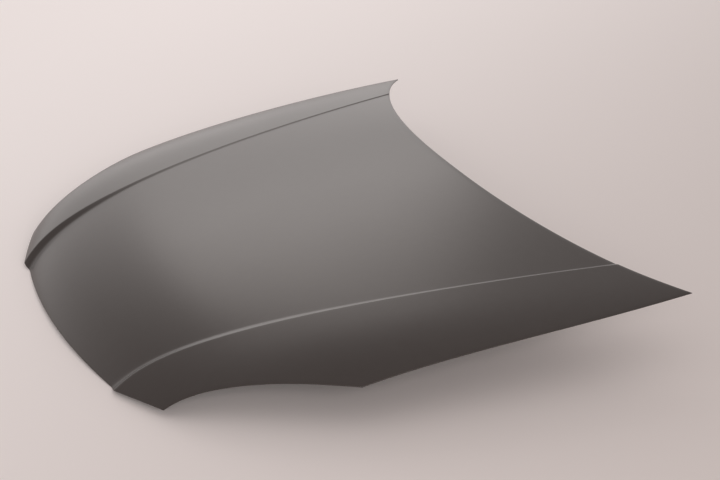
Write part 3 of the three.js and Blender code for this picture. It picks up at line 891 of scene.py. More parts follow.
    def pad(
        self,
        seat: BoltingFace,
        size: tuple[float, float, float],
        floor: list[int],
        turns: tuple[int, int],
        holes: tuple[tuple[float, float], ...],
    ) -> None:
        """Press a flat seat inside a ring of the floor, with its bolt holes.

        Args:
            seat: where the pad is.
            size: its length, its width and its depth.
            floor: the ring of points round it.
            turns: how many steps its sides have.
            holes: the bolt holes' middles.
        """
        outline = self.ring(size[0], size[1], self.seat_radius, turns)
        down = seat.normal * self.gauge
        sheet = self.sheet
        targets = [seat.place(x, y) for x, y in outline]
        rings = [floor]
        for share in np.linspace(0, 1, self.wall_steps)[1:-1]:
            eased = share * share * (3 - 2 * share)
            ring = []
            for k, target in enumerate(targets):
                start = sheet.face[floor[k]]
                place = mix(start, target, share)
                place[2] = mix(start[2], target[2], eased)
                ring.append(sheet.point(place, place - down))
            rings.append(ring)
        rings.append([sheet.point(target, target - down) for target in targets])
        for outer, inner in zip(rings, rings[1:]):
            sheet.strip(outer, inner)
        flat = [Vector(offset) for offset in outline]
        edges = [(k, (k + 1) % len(flat)) for k in range(len(flat))]
        radius = self.bolt_hole / 2
        for x, y in holes:
            first = len(flat)
            for k in range(self.hole_sides):
                turn = 2 * math.pi * k / self.hole_sides
                flat.append(Vector((x + radius * math.cos(turn), y + radius * math.sin(turn))))
                edges.append((first + k, first + (k + 1) % self.hole_sides))
        corners, _, faces, *_ = delaunay_2d_cdt(flat, edges, [], 0, SAME_POINT)
        number = [sheet.point(seat.place(*v), seat.place(*v) - down) for v in corners]
        for face in faces:
            middle = sum((corners[k] for k in face), Vector((0, 0))) / len(face)
            if all((middle - Vector(hole)).length > radius for hole in holes):
                sheet.polygon(*(number[k] for k in face))

    def build(self) -> tuple[bpy.types.Object, dict[str, BoltingFace]]:
        """Make the frame and return its object and its seats.

        Returns:
            The object, and the seats by name.
        """
        self.border()
        seats = {}
        for side in (-1, 1):
            for member in range(4):
                for rib in range(3):
                    low, high = sorted((side * rib, side * (rib + 1)))
                    if (member, rib) == (0, 0):
                        continue
                    kind = Bay.HOLE if member == 0 else Bay.CUTOUT
                    if (member, rib) == (3, 2):
                        kind = Bay.HINGE
                    seat = self.bay(member, low, high, kind)
                    if seat is not None:
                        seats["left" if side < 0 else "right"] = seat
        seats["striker"] = self.bay(0, -1, 1, Bay.STRIKER)
        return self.sheet.make("frame_pressing"), seats


def turned_piece(
    name: str,
    seat: BoltingFace,
    middle: tuple[float, float],
    rings: list[np.ndarray],
    tube: bool,
) -> bpy.types.Object:
    """Make a piece from rings round the axis of a seat.

    Args:
        name: the piece's name.
        seat: the seat that the axis stands on.
        middle: where on the seat the axis is.
        rings: radius and height round each ring, in the order that faces outwards.
        tube: whether the last ring joins the first, or both are closed flat.

    Returns:
        The object.
    """
    sides = len(rings[0])
    turns = 2 * math.pi * np.arange(sides) / sides
    x, y = middle
    points = [
        seat.place(x + radius * math.cos(turn), y + radius * math.sin(turn), height)
        for ring in rings
        for turn, (radius, height) in zip(turns, ring)
    ]
    faces: list[tuple[int, ...]] = []
    for r in range(len(rings) if tube else len(rings) - 1):
        low, high = r * sides, (r + 1) % len(rings) * sides
        for k in range(sides):
            after = (k + 1) % sides
            faces.append((low + k, low + after, high + after, high + k))
    if not tube:
        faces.append(tuple(range(sides))[::-1])
        faces.append(tuple(range((len(rings) - 1) * sides, len(rings) * sides)))
    return mesh_piece(name, np.array(points), faces, Corner.MACHINED)


@dataclass(frozen=True)
class Fastener:
    """M8 weld nuts and flanged bolts, chamfered and threaded."""

    across_flats: float = 0.013
    nut_height: float = 0.0065
    bore: float = 0.0079
    bore_chamfer: float = 0.0005
    shank: float = 0.0074
    thread_pitch: float = 0.00125
    thread_depth: float = 0.0006
    head_height: float = 0.006
    flange: float = 0.017
    flange_height: float = 0.0016
    flange_edge: float = 0.0004
    chamfer_slope: float = 0.577
    chamfer_start: float = 0.96
    thread_rings: int = 6
    sides: int = 48

    def even(self, radius: float, height: float) -> np.ndarray:
        """Return a round ring."""
        return np.tile([radius, height], (self.sides, 1))

    def hexagon(self, height: float, chamfer: float = 0.0) -> np.ndarray:
        """Return a ring round the flats, its corners drawn in towards a chamfer above or below.

        Args:
            height: the height of the ring.
            chamfer: 1 for a chamfer above the ring, -1 for one below it, 0 for none.

        Returns:
            Radius and height round the ring.
        """
        turn = 2 * math.pi * np.arange(self.sides) / self.sides
        flat = self.across_flats / 2
        radius = flat / np.cos(turn % (math.pi / 3) - math.pi / 6)
        drawn = chamfer * self.chamfer_slope * (radius - flat * self.chamfer_start)
        return np.stack([radius, height - drawn], axis=1)

    def threaded(self, low: float, high: float) -> list[np.ndarray]:
        """Return rings up the shank, whose radius follows the thread.

        Args:
            low: the height of the first ring.
            high: the height that the last ring stays below.

        Returns:
            The rings.
        """
        turn = np.arange(self.sides) / self.sides
        rings = []
        for height in np.arange(low, high, self.thread_pitch / self.thread_rings):
            phase = (height / self.thread_pitch - turn) % 1
            radius = self.shank / 2 - self.thread_depth * np.abs(2 * phase - 1)
            rings.append(np.stack([radius, np.full_like(radius, height)], axis=1))
        return rings

    def nut(
        self,
        name: str,
        seat: BoltingFace,
        middle: tuple[float, float],
        foot: float,
    ) -> bpy.types.Object:
        """Make a weld nut.

        Args:
            name: the nut's name.
            seat: the seat that it is welded over.
            middle: where on the seat its axis is.
            foot: the height of its lower face above the seat.

        Returns:
            The object.
        """
        top = foot + self.nut_height
        flat, bore, edge = self.across_flats / 2, self.bore / 2, self.bore_chamfer
        rings = [
            self.even(bore + edge, foot),
            self.even(flat * self.chamfer_start, foot),
            self.hexagon(foot, -1),
            self.hexagon(top, 1),
            self.even(flat * self.chamfer_start, top),
            self.even(bore + edge, top),
            self.even(bore, top - edge),
            self.even(bore, foot + edge),
        ]
        return turned_piece(name, seat, middle, rings, tube=True)

    def bolt(
        self,
        name: str,
        seat: BoltingFace,
        middle: tuple[float, float],
        under: float,
        tip: float,
    ) -> bpy.types.Object:
        """Make a flanged bolt from under the seat.

        Args:
            name: the bolt's name.
            seat: the seat that it goes through.
            middle: where on the seat its axis is.
            under: the height above the seat at which its flange bears.
            tip: the height of its tip.

        Returns:
            The object.
        """
        bottom = under - self.head_height - self.flange_height / 2
        flat, flange, edge = self.across_flats / 2, self.flange / 2, self.flange_edge
        low = under - self.flange_height
        rings = [
            self.even(flat * self.chamfer_start, bottom),
            self.hexagon(bottom, -1),
            self.hexagon(low),
            self.even(flange - edge, low),
            self.even(flange, low + edge),
            self.even(flange, under - edge / 2),
            self.even(flange - edge / 2, under),
            self.even(self.shank / 2 - self.thread_depth, under),
            *self.threaded(under + edge, tip - 2 * edge),
            self.even(self.shank / 2 - 2 * self.thread_depth, tip),
        ]
        return turned_piece(name, seat, middle, rings, tube=False)


@dataclass(frozen=True)
class BackingPlate:
    """A flat plate on a seat, with rounded corners, softened edges and drilled holes."""

    length: float
    width: float
    thickness: float
    holes: tuple[tuple[float, float, float], ...]
    radius: float = 0.012
    edge: float = 0.0003
    corner_steps: int = 12
    hole_sides: int = 40

    def outline(self, inset: float) -> list[tuple[float, float]]:
        """Return the plate's outline an inset inside it.

        Args:
            inset: how far inside the plate.

        Returns:
            The outline's points.
        """
        radius = self.radius - inset
        reach = (self.length / 2 - self.radius, self.width / 2 - self.radius)
        points = []
        for corner, (x, y) in enumerate(((1, 1), (-1, 1), (-1, -1), (1, -1))):
            for k in range(self.corner_steps + 1):
                turn = math.pi / 2 * (corner + k / self.corner_steps)
                along = x * reach[0] + radius * math.cos(turn)
                points.append((along, y * reach[1] + radius * math.sin(turn)))
        return points

    def hole(self, at: tuple[float, float, float], inset: float) -> list[tuple[float, float]]:
        """Return a hole's rim, wider by an inset.

        Args:
            at: the hole's middle and its diameter.
            inset: how far outside the hole.

        Returns:
            The rim's points.
        """
        x, y, diameter = at
        radius = diameter / 2 + inset
        turns = [2 * math.pi * k / self.hole_sides for k in range(self.hole_sides)]
        return [(x + radius * math.cos(turn), y + radius * math.sin(turn)) for turn in turns]

    def build(self, name: str, seat: BoltingFace, foot: float) -> bpy.types.Object:
        """Make the plate with its lower face a height above the seat.

        Args:
            name: the plate's name.
            seat: the seat that it lies along.
            foot: the height of its lower face above the seat.

        Returns:
            The object.
        """
        top, edge = self.thickness, self.edge
        levels = ((edge, 0.0), (0.0, edge), (0.0, top - edge), (edge, top))
        loops = [
            [self.outline(inset), *(self.hole(at, inset) for at in self.holes)]
            for inset, _ in levels
        ]
        starts = np.cumsum([0] + [len(loop) for loop in loops[0]]).tolist()
        count = starts[-1]
        points = [
            seat.place(x, y, foot + height)
            for (_, height), level in zip(levels, loops)
            for loop in level
            for x, y in loop
        ]
        faces: list[tuple[int, ...]] = []
        for level in range(len(levels) - 1):
            for loop, (first, end) in enumerate(zip(starts, starts[1:])):
                for k in range(first, end):
                    after = first + (k + 1 - first) % (end - first)
                    low, high = level * count, (level + 1) * count
                    side = (low + k, low + after, high + after, high + k)
                    faces.append(side if loop == 0 else side[::-1])
        flat = [Vector(point) for loop in loops[0] for point in loop]
        edges = [
            (k, first + (k + 1 - first) % (end - first))
            for first, end in zip(starts, starts[1:])
            for k in range(first, end)
        ]
        chord = math.cos(math.pi / self.hole_sides)
        _, _, cells, *_ = delaunay_2d_cdt(flat, edges, [], 0, SAME_POINT)
        for cell in cells:
            middle = sum((flat[k] for k in cell), Vector((0, 0))) / len(cell)
            apart = [(middle - Vector(at[:2])).length for at in self.holes]
            if all(gap > (at[2] / 2 + edge) * chord for gap, at in zip(apart, self.holes)):
                faces.append(tuple(cell)[::-1])
                faces.append(tuple(k + (len(levels) - 1) * count for k in cell))
        return mesh_piece(name, np.array(points), faces, Corner.MACHINED)


@dataclass(frozen=True)
class StrikerLoop:
    """The striker's wire, with a bead of weld round each end under its plate."""

    wire: float = 0.008
    width: float = 0.034
    drop: float = 0.046
    plate: float = 0.003
    bead: float = 0.0028
    bead_power: float = 1.5
    end_edge: float = 0.0005
    steps: int = 72
    sides: int = 32

    def build(self, name: str, seat: BoltingFace, foot: float) -> bpy.types.Object:
        """Make the wire with its ends level with the top of the plate.

        Args:
            name: the piece's name.
            seat: the striker's seat.
            foot: the height of the plate's lower face above the seat.

        Returns:
            The object.
        """
        bend, radius = self.width / 2, self.wire / 2
        top = foot + self.plate
        leg = self.plate + self.drop - radius - bend
        total = 2 * leg + math.pi * bend
        marks = [(0.0, radius - self.end_edge), (self.end_edge, radius)]
        marks += [(self.plate, radius), (self.plate, radius + self.bead)]
        for share in (0.25, 0.5, 0.75):
            swell = self.bead * (1 - math.sqrt(share)) ** self.bead_power
            marks.append((self.plate + self.bead * share, radius + swell))
        start = self.plate + self.bead
        middle = [(run, radius) for run in np.linspace(start, total - start, self.steps)]
        marks = marks + middle + [(total - run, size) for run, size in marks[::-1]]
        points = []
        for run, size in marks:
            turn = min(max((run - leg) / bend, 0.0), math.pi)
            lift = max(0.0, run - leg - math.pi * bend)
            x, z = -bend * math.cos(turn), top - min(run, leg) - bend * math.sin(turn) + lift
            side = (-math.cos(turn), -math.sin(turn))
            for k in range(self.sides):
                angle = 2 * math.pi * k / self.sides
                out, over = size * math.cos(angle), size * math.sin(angle)
                points.append(seat.place(x + side[0] * out, over, z + side[1] * out))
        faces: list[tuple[int, ...]] = []
        for r in range(len(marks) - 1):
            for k in range(self.sides):
                after = (k + 1) % self.sides
                low, high = r * self.sides, (r + 1) * self.sides
                faces.append((low + k, low + after, high + after, high + k))
        faces.append(tuple(range(self.sides))[::-1])
        faces.append(tuple(range((len(marks) - 1) * self.sides, len(marks) * self.sides)))
        piece = mesh_piece(name, np.array(points), faces, Corner.MACHINED)
        shell = bmesh.new()
        shell.from_mesh(piece.data)
        bmesh.ops.recalc_face_normals(shell, faces=shell.faces)
        shell.to_mesh(piece.data)
        shell.free()
        return piece


@dataclass(frozen=True)
class MasticDabs:
    """The squeezed dabs of mastic between the frame's lands and the skin."""

    shape: SkinShape
    length: float = 0.024
    width: float = 0.008
    height: float = 0.0034
    depth: float = 0.0029
    squeeze: float = 1.7
    lump_scale: float = 160.0
    lump_height: float = 0.0004
    seed: float = 3.0
    ball_sides: tuple[int, int] = (32, 16)

    def tree(self) -> bpy.types.NodeTree:
        """Make the node tree that lays a lumpy dab on each point of a mesh.

        Returns:
            The tree.
        """
        tree = bpy.data.node_groups.new("mastic_dabs", "GeometryNodeTree")
        number = "NodeSocketFloat"
        tree.interface.new_socket("Points", in_out="INPUT", socket_type="NodeSocketGeometry")
        for label in ("Length", "Width", "Height", "Squeeze", "Lump scale", "Lump height", "Seed"):
            tree.interface.new_socket(label, in_out="INPUT", socket_type=number)
        tree.interface.new_socket("Material", in_out="INPUT", socket_type="NodeSocketMaterial")
        tree.interface.new_socket("Dabs", in_out="OUTPUT", socket_type="NodeSocketGeometry")
        nodes, links = tree.nodes, tree.links
        source, sink = nodes.new("NodeGroupInput"), nodes.new("NodeGroupOutput")
        ball = nodes.new("GeometryNodeMeshUVSphere")
        for label, count in zip(("Segments", "Rings"), self.ball_sides):
            ball.inputs[label].default_value = count
        ball.inputs["Radius"].default_value = 1.0
        apart = nodes.new("ShaderNodeSeparateXYZ")
        links.new(nodes.new("GeometryNodeInputPosition").outputs[0], apart.inputs[0])
        higher = nodes.new("ShaderNodeMath")
        higher.operation = "MULTIPLY"
        links.new(apart.outputs["Z"], higher.inputs[0])
        links.new(source.outputs["Squeeze"], higher.inputs[1])
        flat = nodes.new("ShaderNodeClamp")
        flat.inputs["Min"].default_value = -1.0
        links.new(higher.outputs[0], flat.inputs["Value"])
        place = nodes.new("ShaderNodeCombineXYZ")
        for axis in ("X", "Y"):
            links.new(apart.outputs[axis], place.inputs[axis])
        links.new(flat.outputs[0], place.inputs["Z"])
        size = nodes.new("ShaderNodeCombineXYZ")
        for axis, label in (("X", "Length"), ("Y", "Width"), ("Z", "Height")):
            links.new(source.outputs[label], size.inputs[axis])
        scaled = nodes.new("ShaderNodeVectorMath")
        scaled.operation = "MULTIPLY"
        links.new(place.outputs[0], scaled.inputs[0])
        links.new(size.outputs[0], scaled.inputs[1])
        halved = nodes.new("ShaderNodeVectorMath")
        halved.operation = "SCALE"
        halved.inputs["Scale"].default_value = 0.5
        links.new(scaled.outputs[0], halved.inputs[0])
        squeezed = nodes.new("GeometryNodeSetPosition")
        links.new(ball.outputs["Mesh"], squeezed.inputs["Geometry"])
        links.new(halved.outputs[0], squeezed.inputs["Position"])
        turn = nodes.new("GeometryNodeInputNamedAttribute")
        turn.data_type = "FLOAT_VECTOR"
        turn.inputs["Name"].default_value = "turn"
        laid = nodes.new("GeometryNodeInstanceOnPoints")
        links.new(source.outputs["Points"], laid.inputs["Points"])
        links.new(squeezed.outputs[0], laid.inputs["Instance"])
        links.new(turn.outputs["Attribute"], laid.inputs["Rotation"])
        real = nodes.new("GeometryNodeRealizeInstances")
        links.new(laid.outputs[0], real.inputs[0])
        noise = nodes.new("ShaderNodeTexNoise")
        noise.noise_dimensions = "4D"
        links.new(source.outputs["Lump scale"], noise.inputs["Scale"])
        links.new(source.outputs["Seed"], noise.inputs["W"])
        links.new(nodes.new("GeometryNodeInputPosition").outputs[0], noise.inputs["Vector"])
        sunk = nodes.new("ShaderNodeMath")
        sunk.operation = "MULTIPLY"
        links.new(noise.outputs["Fac"], sunk.inputs[0])
        links.new(source.outputs["Lump height"], sunk.inputs[1])
        inward = nodes.new("ShaderNodeMath")
        inward.operation = "MULTIPLY"
        inward.inputs[1].default_value = -1.0
        links.new(sunk.outputs[0], inward.inputs[0])
        offset = nodes.new("ShaderNodeVectorMath")
        offset.operation = "SCALE"
        links.new(nodes.new("GeometryNodeInputNormal").outputs[0], offset.inputs[0])
        links.new(inward.outputs[0], offset.inputs["Scale"])
        lumpy = nodes.new("GeometryNodeSetPosition")
        links.new(real.outputs[0], lumpy.inputs["Geometry"])
        links.new(offset.outputs[0], lumpy.inputs["Offset"])
        smooth = nodes.new("GeometryNodeSetShadeSmooth")
        links.new(lumpy.outputs[0], smooth.inputs[0])
        finish = nodes.new("GeometryNodeSetMaterial")
        links.new(smooth.outputs[0], finish.inputs["Geometry"])
        links.new(source.outputs["Material"], finish.inputs["Material"])
        links.new(finish.outputs[0], sink.inputs[0])
        return tree

    def build(self, nodes: list[str], material: bpy.types.Material) -> bpy.types.Object:
        """Lay the dabs where their solids are and return them as one mesh.

        Args:
            nodes: the solids' names.
            material: the mastic.

        Returns:
            The object.
        """
        places, turns = [], []
        for node in nodes:
            low, high = (np.array(corner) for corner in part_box(node))
            x, y, _ = (low + high) / 2 - np.array(self.shape.origin)
            u = np.full(3, self.shape.u_at(np.array(x), np.array(y)))
            row = y + np.array([-EDGE_REACH, 0, EDGE_REACH])
            (before, at, after), (_, normal, _) = self.shape.points(u, row)
            along = (after - before) / np.linalg.norm(after - before)
            across = np.cross(normal, along)
            across /= np.linalg.norm(across)
            columns = (along, across, np.cross(along, across))
            basis = Matrix([Vector(v) for v in columns]).transposed()
            places.append(at - normal * self.depth)
            turns.append(tuple(basis.to_euler()))
        mesh = bpy.data.meshes.new("dab_places")
        mesh.from_pydata([tuple(place) for place in places], [], [])
        attribute = mesh.attributes.new("turn", "FLOAT_VECTOR", "POINT")
        attribute.data.foreach_set("vector", np.array(turns).ravel())
        points = bpy.data.objects.new("dab_places", mesh)
        bpy.context.scene.collection.objects.link(points)
        modifier = points.modifiers.new("dabs", "NODES")
        modifier.node_group = self.tree()
        values = {
            "Length": self.length,
            "Width": self.width,
            "Height": self.height,
            "Squeeze": self.squeeze,
            "Lump scale": self.lump_scale,
            "Lump height": self.lump_height,
            "Seed": self.seed,
            "Material": material,
        }
        for item in modifier.node_group.interface.items_tree:
            if item.in_out == "INPUT" and item.name in values:
                modifier[item.identifier] = values[item.name]
        evaluated = points.evaluated_get(bpy.context.evaluated_depsgraph_get())
        result = bpy.data.meshes.new_from_object(evaluated)
        bpy.data.objects.remove(points)
        piece = bpy.data.objects.new("mastic_dabs", result)
        bpy.context.scene.collection.objects.link(piece)
        return piece


@dataclass(frozen=True)
class Hardware:
    """The plates, nuts, bolts and wire on the frame's seats."""

    gap: float = 0.0003
    frame_gauge: float = 0.0007
    brace_gauge: float = 0.0015
    plate_gauge: float = 0.003
    margin: float = 0.005
    bolt_hole: float = 0.009
    wire_hole: float = 0.0086
    stand_out: float = 0.002
    fastener: Fastener = Fastener()
    loop: StrikerLoop = StrikerLoop()

    def build(
        self,
        sheet: InnerFrame,
        seats: dict[str, BoltingFace],
    ) -> list[tuple[bpy.types.Object, str, str]]:
        """Make the pieces on the seats.

        Args:
            sheet: the frame, for the sizes of its seats.
            seats: the seats by name.

        Returns:
            Each piece with its slot and the solid that it replaces.
        """
        primer, zinc = "frame_primer", "zinc_plate"
        nut_foot = self.brace_gauge + 2 * self.gap
        holes = [sheet.hinge_pitch / 2 * end for end in (-1, 1)]
        size = [side - 2 * self.margin for side in sheet.hinge_seat[:2]]
        brace = BackingPlate(*size, self.brace_gauge, tuple((x, 0.0, self.bolt_hole) for x in holes))
        pieces = []
        for side in ("left", "right"):
            seat, node = seats[side], f"hinge_brace_{side}"
            pieces.append((brace.build(f"{node}_fine", seat, self.gap), primer, node))
            for k, x in enumerate(holes, 1):
                node = f"hinge_nut_{side}_{k}"
                nut = self.fastener.nut(f"{node}_fine", seat, (x, 0.0), nut_foot)
                pieces.append((nut, zinc, node))
        seat = seats["striker"]
        ends = [sheet.striker_pitch / 2 * end for end in (-1, 1)]
        bolts = tuple((0.0, y, self.bolt_hole) for y in ends)
        wires = tuple((self.loop.width / 2 * end, 0.0, self.wire_hole) for end in (-1, 1))
        size = [side - 2 * self.margin for side in sheet.striker_seat[:2]]
        foot = -self.frame_gauge - self.gap - self.plate_gauge
        tip = nut_foot + self.fastener.nut_height + self.stand_out
        brace = BackingPlate(*size, self.brace_gauge, bolts)
        plate = BackingPlate(*size, self.plate_gauge, bolts + wires)
        pieces += [
            (brace.build("striker_brace_fine", seat, self.gap), primer, "striker_brace"),
            (plate.build("striker_plate_fine", seat, foot), zinc, "striker_plate"),
            (self.loop.build("striker_loop_fine", seat, foot), zinc, "striker_loop"),
        ]
        for k, y in enumerate(ends, 1):
            at, under = (0.0, y), foot - self.gap
            node = f"striker_nut_{k}"
            pieces.append((self.fastener.nut(f"{node}_fine", seat, at, nut_foot), zinc, node))
            node = f"striker_bolt_{k}"
            bolt = self.fastener.bolt(f"{node}_fine", seat, at, under, tip)
            pieces.append((bolt, zinc, node))
        return pieces


def shader_group(
    name: str,
    inputs: list[tuple[str, str, object]],
    outputs: list[tuple[str, str]],
) -> bpy.types.NodeTree:
    """Make an empty shader node group with named sockets.

    Args:
        name: the group's name.
        inputs: name, socket type and default of each input.
        outputs: name and socket type of each output.

    Returns:
        The group, holding its input and output nodes.
    """
    tree = bpy.data.node_groups.new(name, "ShaderNodeTree")
    for label, kind, default in inputs:
        socket = tree.interface.new_socket(label, in_out="INPUT", socket_type=kind)
        socket.default_value = default
    for label, kind in outputs:
        tree.interface.new_socket(label, in_out="OUTPUT", socket_type=kind)
    tree.nodes.new("NodeGroupInput").name = "in"
    tree.nodes.new("NodeGroupOutput").name = "out"
    return tree


def build_sprayed_film() -> bpy.types.NodeTree:
    """Make the group for a dipped or sprayed film: its tone, its gloss and its peel.

    Returns:
        The group.
    """
    number, colour = "NodeSocketFloat", "NodeSocketColor"
    tree = shader_group(
        "sprayed_film",
        [
            ("Tone", colour, (0.05, 0.05, 0.05, 1)),
            ("Dust", colour, (0.2, 0.19, 0.18, 1)),
            ("Dust amount", number, 0.05),
            ("Gloss", number, 0.35),
            ("Gloss spread", number, 0.05),
            ("Peel size", number, 900.0),
        ],
        [("Color", colour), ("Roughness", number), ("Height", number)],
    )
    nodes, links = tree.nodes, tree.links
    source, sink = nodes["in"], nodes["out"]
    place = nodes.new("ShaderNodeTexCoord")
    cloud = nodes.new("ShaderNodeTexNoise")
    cloud.inputs["Scale"].default_value = 3.5
    cloud.inputs["Detail"].default_value = 5
    grain = nodes.new("ShaderNodeTexNoise")
    grain.inputs["Scale"].default_value = 45
    grain.inputs["Detail"].default_value = 1
    peel = nodes.new("ShaderNodeTexNoise")
    peel.inputs["Detail"].default_value = 2
    for noise in (cloud, grain, peel):
        links.new(place.outputs["Object"], noise.inputs["Vector"])
    links.new(source.outputs["Peel size"], peel.inputs["Scale"])
    both = nodes.new("ShaderNodeMath")
    both.operation = "MULTIPLY"
    links.new(cloud.outputs["Fac"], both.inputs[0])
    links.new(grain.outputs["Fac"], both.inputs[1])
    amount = nodes.new("ShaderNodeMath")
    amount.operation = "MULTIPLY"
    links.new(both.outputs[0], amount.inputs[0])
    links.new(source.outputs["Dust amount"], amount.inputs[1])
    tint = nodes.new("ShaderNodeMix")
    tint.data_type = "RGBA"
    links.new(amount.outputs[0], tint.inputs["Factor"])
    links.new(source.outputs["Tone"], tint.inputs["A"])
    links.new(source.outputs["Dust"], tint.inputs["B"])
    centred = nodes.new("ShaderNodeMath")
    centred.operation = "SUBTRACT"
    centred.inputs[1].default_value = 0.5
    links.new(cloud.outputs["Fac"], centred.inputs[0])
    spread = nodes.new("ShaderNodeMath")
    spread.operation = "MULTIPLY_ADD"
    links.new(centred.outputs[0], spread.inputs[0])
    links.new(source.outputs["Gloss spread"], spread.inputs[1])
    links.new(source.outputs["Gloss"], spread.inputs[2])
    links.new(tint.outputs["Result"], sink.inputs["Color"])
    links.new(spread.outputs[0], sink.inputs["Roughness"])
    links.new(peel.outputs["Fac"], sink.inputs["Height"])
    return tree


@dataclass(frozen=True)
class PrimerFinish:
    """A satin electrocoat primer over sheet steel."""

    name: str
    tone: tuple[float, float, float]
    gloss: float
    dust_amount: float
    peel_size: float = 350.0
    peel_height: float = 0.000004
    sheen_tone: tuple[float, float, float] = (1.0, 0.92, 0.91)

    def build(self, film: bpy.types.NodeTree) -> bpy.types.Material:
        """Return the material, with the shared film group in it.

        Args:
            film: the shared film group.

        Returns:
            The material.
        """
        material = bpy.data.materials.new(self.name)
        material.use_nodes = True
        nodes, links = material.node_tree.nodes, material.node_tree.links
        surface = nodes["Principled BSDF"]
        group = nodes.new("ShaderNodeGroup")
        group.node_tree = film
        group.inputs["Tone"].default_value = (*self.tone, 1)
        group.inputs["Gloss"].default_value = self.gloss
        group.inputs["Dust amount"].default_value = self.dust_amount
        group.inputs["Peel size"].default_value = self.peel_size
        bump = nodes.new("ShaderNodeBump")
        bump.inputs["Distance"].default_value = self.peel_height
        bump.inputs["Strength"].default_value = 1.0
        links.new(group.outputs["Color"], surface.inputs["Base Color"])
        links.new(group.outputs["Roughness"], surface.inputs["Roughness"])
        links.new(group.outputs["Height"], bump.inputs["Height"])
        links.new(bump.outputs["Normal"], surface.inputs["Normal"])
        surface.inputs["IOR"].default_value = 1.5
        surface.inputs["Specular Tint"].default_value = (*self.sheen_tone, 1)
        return material


@dataclass(frozen=True)
class ZincFinish:
    """Bright zinc plate with a faint brushed grain."""

    name: str = "zinc_plate"
    tone: tuple[float, float, float] = (0.58, 0.58, 0.55)
    gloss: float = 0.32

    def build(self, film: bpy.types.NodeTree) -> bpy.types.Material:
        """Return the material, with the shared film group in it.

        Args:
            film: the shared film group.

        Returns:
            The material.
        """
        material = bpy.data.materials.new(self.name)
        material.use_nodes = True
        nodes, links = material.node_tree.nodes, material.node_tree.links
        surface = nodes["Principled BSDF"]
        surface.inputs["Metallic"].default_value = 1.0
        group = nodes.new("ShaderNodeGroup")
        group.node_tree = film
        group.inputs["Tone"].default_value = (*self.tone, 1)
        group.inputs["Gloss"].default_value = self.gloss
        group.inputs["Gloss spread"].default_value = 0.2
        links.new(group.outputs["Color"], surface.inputs["Base Color"])
        links.new(group.outputs["Roughness"], surface.inputs["Roughness"])
        return material


@dataclass(frozen=True)
class MasticFinish:
    """Dull, slightly lumpy mastic."""

    name: str = "mastic"
    tone: tuple[float, float, float] = (0.07, 0.07, 0.065)

    def build(self, film: bpy.types.NodeTree) -> bpy.types.Material:
        """Return the material, with the shared film group in it.

        Args:
            film: the shared film group.

        Returns:
            The material.
        """
        material = bpy.data.materials.new(self.name)
        material.use_nodes = True
        nodes, links = material.node_tree.nodes, material.node_tree.links
        surface = nodes["Principled BSDF"]
        group = nodes.new("ShaderNodeGroup")
        group.node_tree = film
        group.inputs["Tone"].default_value = (*self.tone, 1)
        group.inputs["Gloss"].default_value = 0.85
        group.inputs["Peel size"].default_value = 300.0
        bump = nodes.new("ShaderNodeBump")
        bump.inputs["Distance"].default_value = 0.0004
        links.new(group.outputs["Color"], surface.inputs["Base Color"])
        links.new(group.outputs["Roughness"], surface.inputs["Roughness"])
        links.new(group.outputs["Height"], bump.inputs["Height"])
        links.new(bump.outputs["Normal"], surface.inputs["Normal"])
        return material


@dataclass(frozen=True)
class PhotoView:
    """The photograph's viewpoint: from the car's left, a little ahead of square."""

    place: tuple[float, float, float] = (-1.54208, -3.88091, 2.02091)
    azimuth: float = -23.5646
    elevation: float = 24.8356
    roll: float = -1.3957
    lens: float = 100.0
    sensor: float = 36.0

    def build(self) -> bpy.types.Object:
        """Make the camera, make it the scene's own and return it.

        Returns:
            The camera.
        """
        a, e, t = (math.radians(v) for v in (self.azimuth, self.elevation, self.roll))
        back = Vector((math.sin(a) * math.cos(e), -math.cos(a) * math.cos(e), math.sin(e)))
        level = Vector((math.cos(a), math.sin(a), 0))
        upright = back.cross(level)
        right = level * math.cos(t) + upright * math.sin(t)
        up = upright * math.cos(t) - level * math.sin(t)
        data = bpy.data.cameras.new("view")
        data.lens, data.sensor_width, data.sensor_fit = self.lens, self.sensor, "HORIZONTAL"
        data.clip_end = 100
        camera = bpy.data.objects.new("view", data)
        turn = Matrix((right, up, back)).transposed().to_4x4()
        camera.matrix_world = Matrix.Translation(self.place) @ turn
        bpy.context.scene.collection.objects.link(camera)
        bpy.context.scene.camera = camera
        return camera


@dataclass(frozen=True)
class SoftLamp:
    """A rectangular soft lamp that faces a point."""

    name: str
    azimuth: float
    elevation: float
    distance: float
    width: float
    height: float
    radiance: float
    tint: tuple[float, float, float] = (1.0, 1.0, 1.0)
    target: tuple[float, float, float] = (0.0, 0.0, 0.1)

    def build(self) -> bpy.types.Object:
        """Make the lamp, of an even radiance over its face, and return it.

        Returns:
            The lamp.
        """
        a, e = math.radians(self.azimuth), math.radians(self.elevation)
        away = Vector((math.sin(a) * math.cos(e), math.cos(a) * math.cos(e), math.sin(e)))
        data = bpy.data.lights.new(self.name, "AREA")
        data.shape, data.size, data.size_y = "RECTANGLE", self.width, self.height
        data.energy = self.radiance * self.width * self.height * math.pi
        data.color = self.tint
        lamp = bpy.data.objects.new(self.name, data)
        lamp.rotation_euler = away.to_track_quat("Z", "Y").to_euler()
        lamp.location = Vector(self.target) + away * self.distance
        bpy.context.scene.collection.objects.link(lamp)
        return lamp


